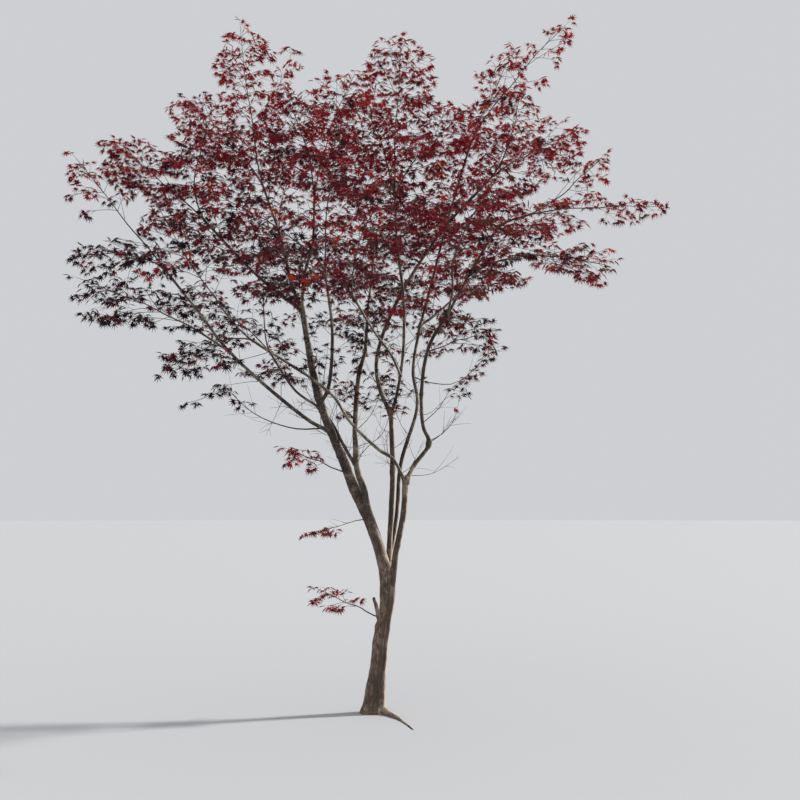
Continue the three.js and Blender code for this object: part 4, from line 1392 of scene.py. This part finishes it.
    def grow_along(self, plan: LimbPlan, index: int) -> None:
        """Grows twigs along a limb: bare or thinly leaved low down, leafy where it passes through the crown.

        Args:
            plan: The limb.
            index: Its number, from which its own chances come.
        """
        self.luck = luck = chance(100, index)
        route, (travelled, end) = self.boughs.routes[plan.name], self.limb_ends
        turn = luck.uniform(0, 6)
        while travelled < route.length - end:
            share = travelled / route.length
            foot, along = route.at(share), route.heading(share)
            leafy = foot[2] > plan.leafy_above
            travelled += luck.uniform(*self.leafy_gap) / plan.dress if leafy else luck.uniform(*self.bare_gap)
            turn += GOLDEN_ANGLE
            if foot[2] < self.bare_above:
                continue
            heading = unit(along * self.limb_lean + beside(along, turn) + UP * self.limb_lift)
            length = luck.uniform(*(self.leafy_length if leafy else self.bare_length))
            tip = foot + heading * length + UP * length * luck.uniform(*self.limb_bend)
            if leafy:
                self.grow_twig(foot, heading, tip, plan.dress)
                continue
            lift = UP * float(np.linalg.norm(tip - foot)) * luck.uniform(*self.bare_lift)
            bare = Route.through([foot, mix(foot, tip, 0.45) - lift * 0.6, tip + lift * 0.5], 8)
            tufted = luck.random() < self.tufted_share and tip[2] > self.tufted_above
            self.dress_bare_twig(bare, self.bare_twig_radius[0], tufted)

    def dress_bare_twig(self, route: Route, radius: float, tufted: bool) -> None:
        """Adds a bare twig's own wood, its side twigs, and tufts of leaves at some of their ends.

        Args:
            route: The twig.
            radius: Its radius at the foot.
            tufted: Whether some of its side twigs end in leaves.
        """
        luck, (side_tuft, end_tuft, *_) = self.luck, self.tuft_lengths
        self.add_wood(route, 4 + int(route.length / 90), radius, self.bare_twig_radius[1], 4)
        tint = self.tint_at(route.at(1.0))
        for _ in range(int(luck.integers(2, 5)) + int(route.length / 300)):
            node = luck.uniform(*self.side_node)
            start, along = route.at(node), route.heading(node)
            heading = unit(along + beside(along, luck.uniform(0, 6.28)) * self.side_spread)
            least, most = self.side_lengths
            reach = min(most, (1 - node) * route.length * luck.uniform(*self.side_reach) + least)
            bend = UP * reach * luck.uniform(*self.side_bend)
            side = Route.bent(start, heading, start + heading * reach + bend, 0.5)
            self.add_wood(side, 5, *self.side_radius)
            if tufted and luck.random() < self.side_tufts:
                self.grow_shoot(side.at(0.95), side.heading(1.0), luck.uniform(*side_tuft), tint)
        if tufted:
            self.grow_shoot(route.at(0.96), route.heading(1.0), luck.uniform(*end_tuft), tint)

    def grow_long_twig(self, plan: TwigPlan, index: int) -> None:
        """Grows one of the long thin twigs that have a place of their own.

        Args:
            plan: The twig.
            index: Its number, from which its own chances come.
        """
        self.luck = luck = chance(200, index)
        route = Route.through(plan.places, 10)
        self.dress_bare_twig(route, plan.radius, False)
        tint = self.tint_at(route.at(1.0))
        for place in range(plan.tufts):
            node = 1 - place * self.tuft_gap
            start, along = route.at(node), route.heading(node)
            aside = level_across(along) * (1 if place % 2 else -1)
            tip = start + unit(along + aside * 0.9) * luck.uniform(*self.tuft_lengths[3])
            self.grow_twig(start, along, tip, 0.6)
            self.grow_shoot(start, unit(along + aside * -0.5), luck.uniform(*self.tuft_lengths[2]), tint)

    def build(self) -> list[bpy.types.Object]:
        """Grows every mass and limb's twigs, and builds the twigs and the leaves.

        Returns:
            The pieces.
        """
        for grow, plans in ((self.grow_mass, MASSES), (self.grow_along, LIMBS), (self.grow_long_twig, TWIGS)):
            for index, plan in enumerate(plans):
                grow(plan, index)
        self.bed.thin_out(*self.boughs.samples())
        nodes = [f"{plan.name}_foliage" for plan in MASSES]
        twigs = self.wood.to_piece("twigs", TwigFinish().material(), "bark", nodes)
        return [twigs, *self.bed.build(nodes)]


@dataclass(frozen=True)
class Lamp:
    """A distant lamp: its strength, how wide it looks, which way it shines and its colour."""

    name: str
    strength: float
    width: float
    aim: Place
    colour: Colour

    def build(self) -> None:
        """Builds the lamp."""
        data = bpy.data.lights.new(self.name, "SUN")
        data.energy, data.angle, data.color = self.strength, self.width, self.colour
        lamp = bpy.data.objects.new(self.name, data)
        right, back, up = unit(np.array(self.aim))
        lamp.rotation_euler = (math.acos(-up), 0.0, math.atan2(back, right) - math.pi / 2)
        bpy.context.scene.collection.objects.link(lamp)


@dataclass(frozen=True)
class Studio:
    """The floor, the camera, a soft key light from the upper right, a weak fill and a pale surround."""

    eye: Place = (0.20, -8.5, 1.51)
    pitch: float = 5.65
    lens: float = 50.0
    far: float = 400
    floor_radius: float = 160.0
    floor_sides: int = 96
    floor_level: float = -0.001
    floor_colour: Colour = (0.415, 0.427, 0.448)
    floor_roughness: float = 0.9
    surround: Colour = (0.90, 0.92, 0.95)
    surround_strength: float = 0.68
    lamps: tuple[Lamp, ...] = (
        Lamp("key", 4.5, 0.10, (-0.75, -0.22, -0.58), (1.0, 0.96, 0.90)),
        Lamp("fill", 0.3, 0.9, (0.35, 0.85, -0.30), (0.95, 0.97, 1.0)),
    )

    def build_floor(self) -> None:
        """Builds the floor, which isn't part of the tree."""
        turns = [TURN * side / self.floor_sides for side in range(self.floor_sides)]
        rim = [
            (self.floor_radius * math.cos(turn), self.floor_radius * math.sin(turn), self.floor_level)
            for turn in turns
        ]
        mesh = bpy.data.meshes.new("floor")
        mesh.from_pydata(rim, [], [range(self.floor_sides)])
        sockets = {"Base Color": (*self.floor_colour, 1.0), "Roughness": self.floor_roughness}
        mesh.materials.append(Graph("pale_floor").finish(sockets))
        floor = bpy.data.objects.new("floor", mesh)
        bpy.context.scene.collection.objects.link(floor)

    def build_light(self) -> None:
        """Builds the lamps and the surround."""
        for lamp in self.lamps:
            lamp.build()
        world = bpy.data.worlds.new("surround")
        world.use_nodes = True
        sky = world.node_tree.nodes["Background"]
        sky.inputs["Color"].default_value = (*self.surround, 1.0)
        sky.inputs["Strength"].default_value = self.surround_strength
        bpy.context.scene.world = world
        bpy.context.scene.view_settings.view_transform = "Standard"

    def build_camera(self) -> None:
        """Builds the camera at the photograph's viewing angle."""
        data = bpy.data.cameras.new("camera")
        data.lens, data.clip_end = self.lens, self.far
        camera = bpy.data.objects.new("camera", data)
        camera.location = self.eye
        camera.rotation_euler = (math.radians(90 + self.pitch), 0, 0)
        bpy.context.scene.collection.objects.link(camera)
        bpy.context.scene.camera = camera


def main() -> None:
    """Builds the tree, dresses it and sets up the studio, and reports each piece."""
    logging.basicConfig(level=logging.INFO, format="%(name)s: %(message)s")
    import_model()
    studio = Studio()
    studio.build_camera()
    studio.build_light()
    studio.build_floor()
    bark, boughs = BarkFinish().material(), Boughs()
    for piece in (Trunk().build(bark), boughs.build(bark), *Crown(boughs).build()):
        LOG.info("%s: %d triangles", piece.name, len(piece.data.polygons))


if __name__ == "__main__":
    main()
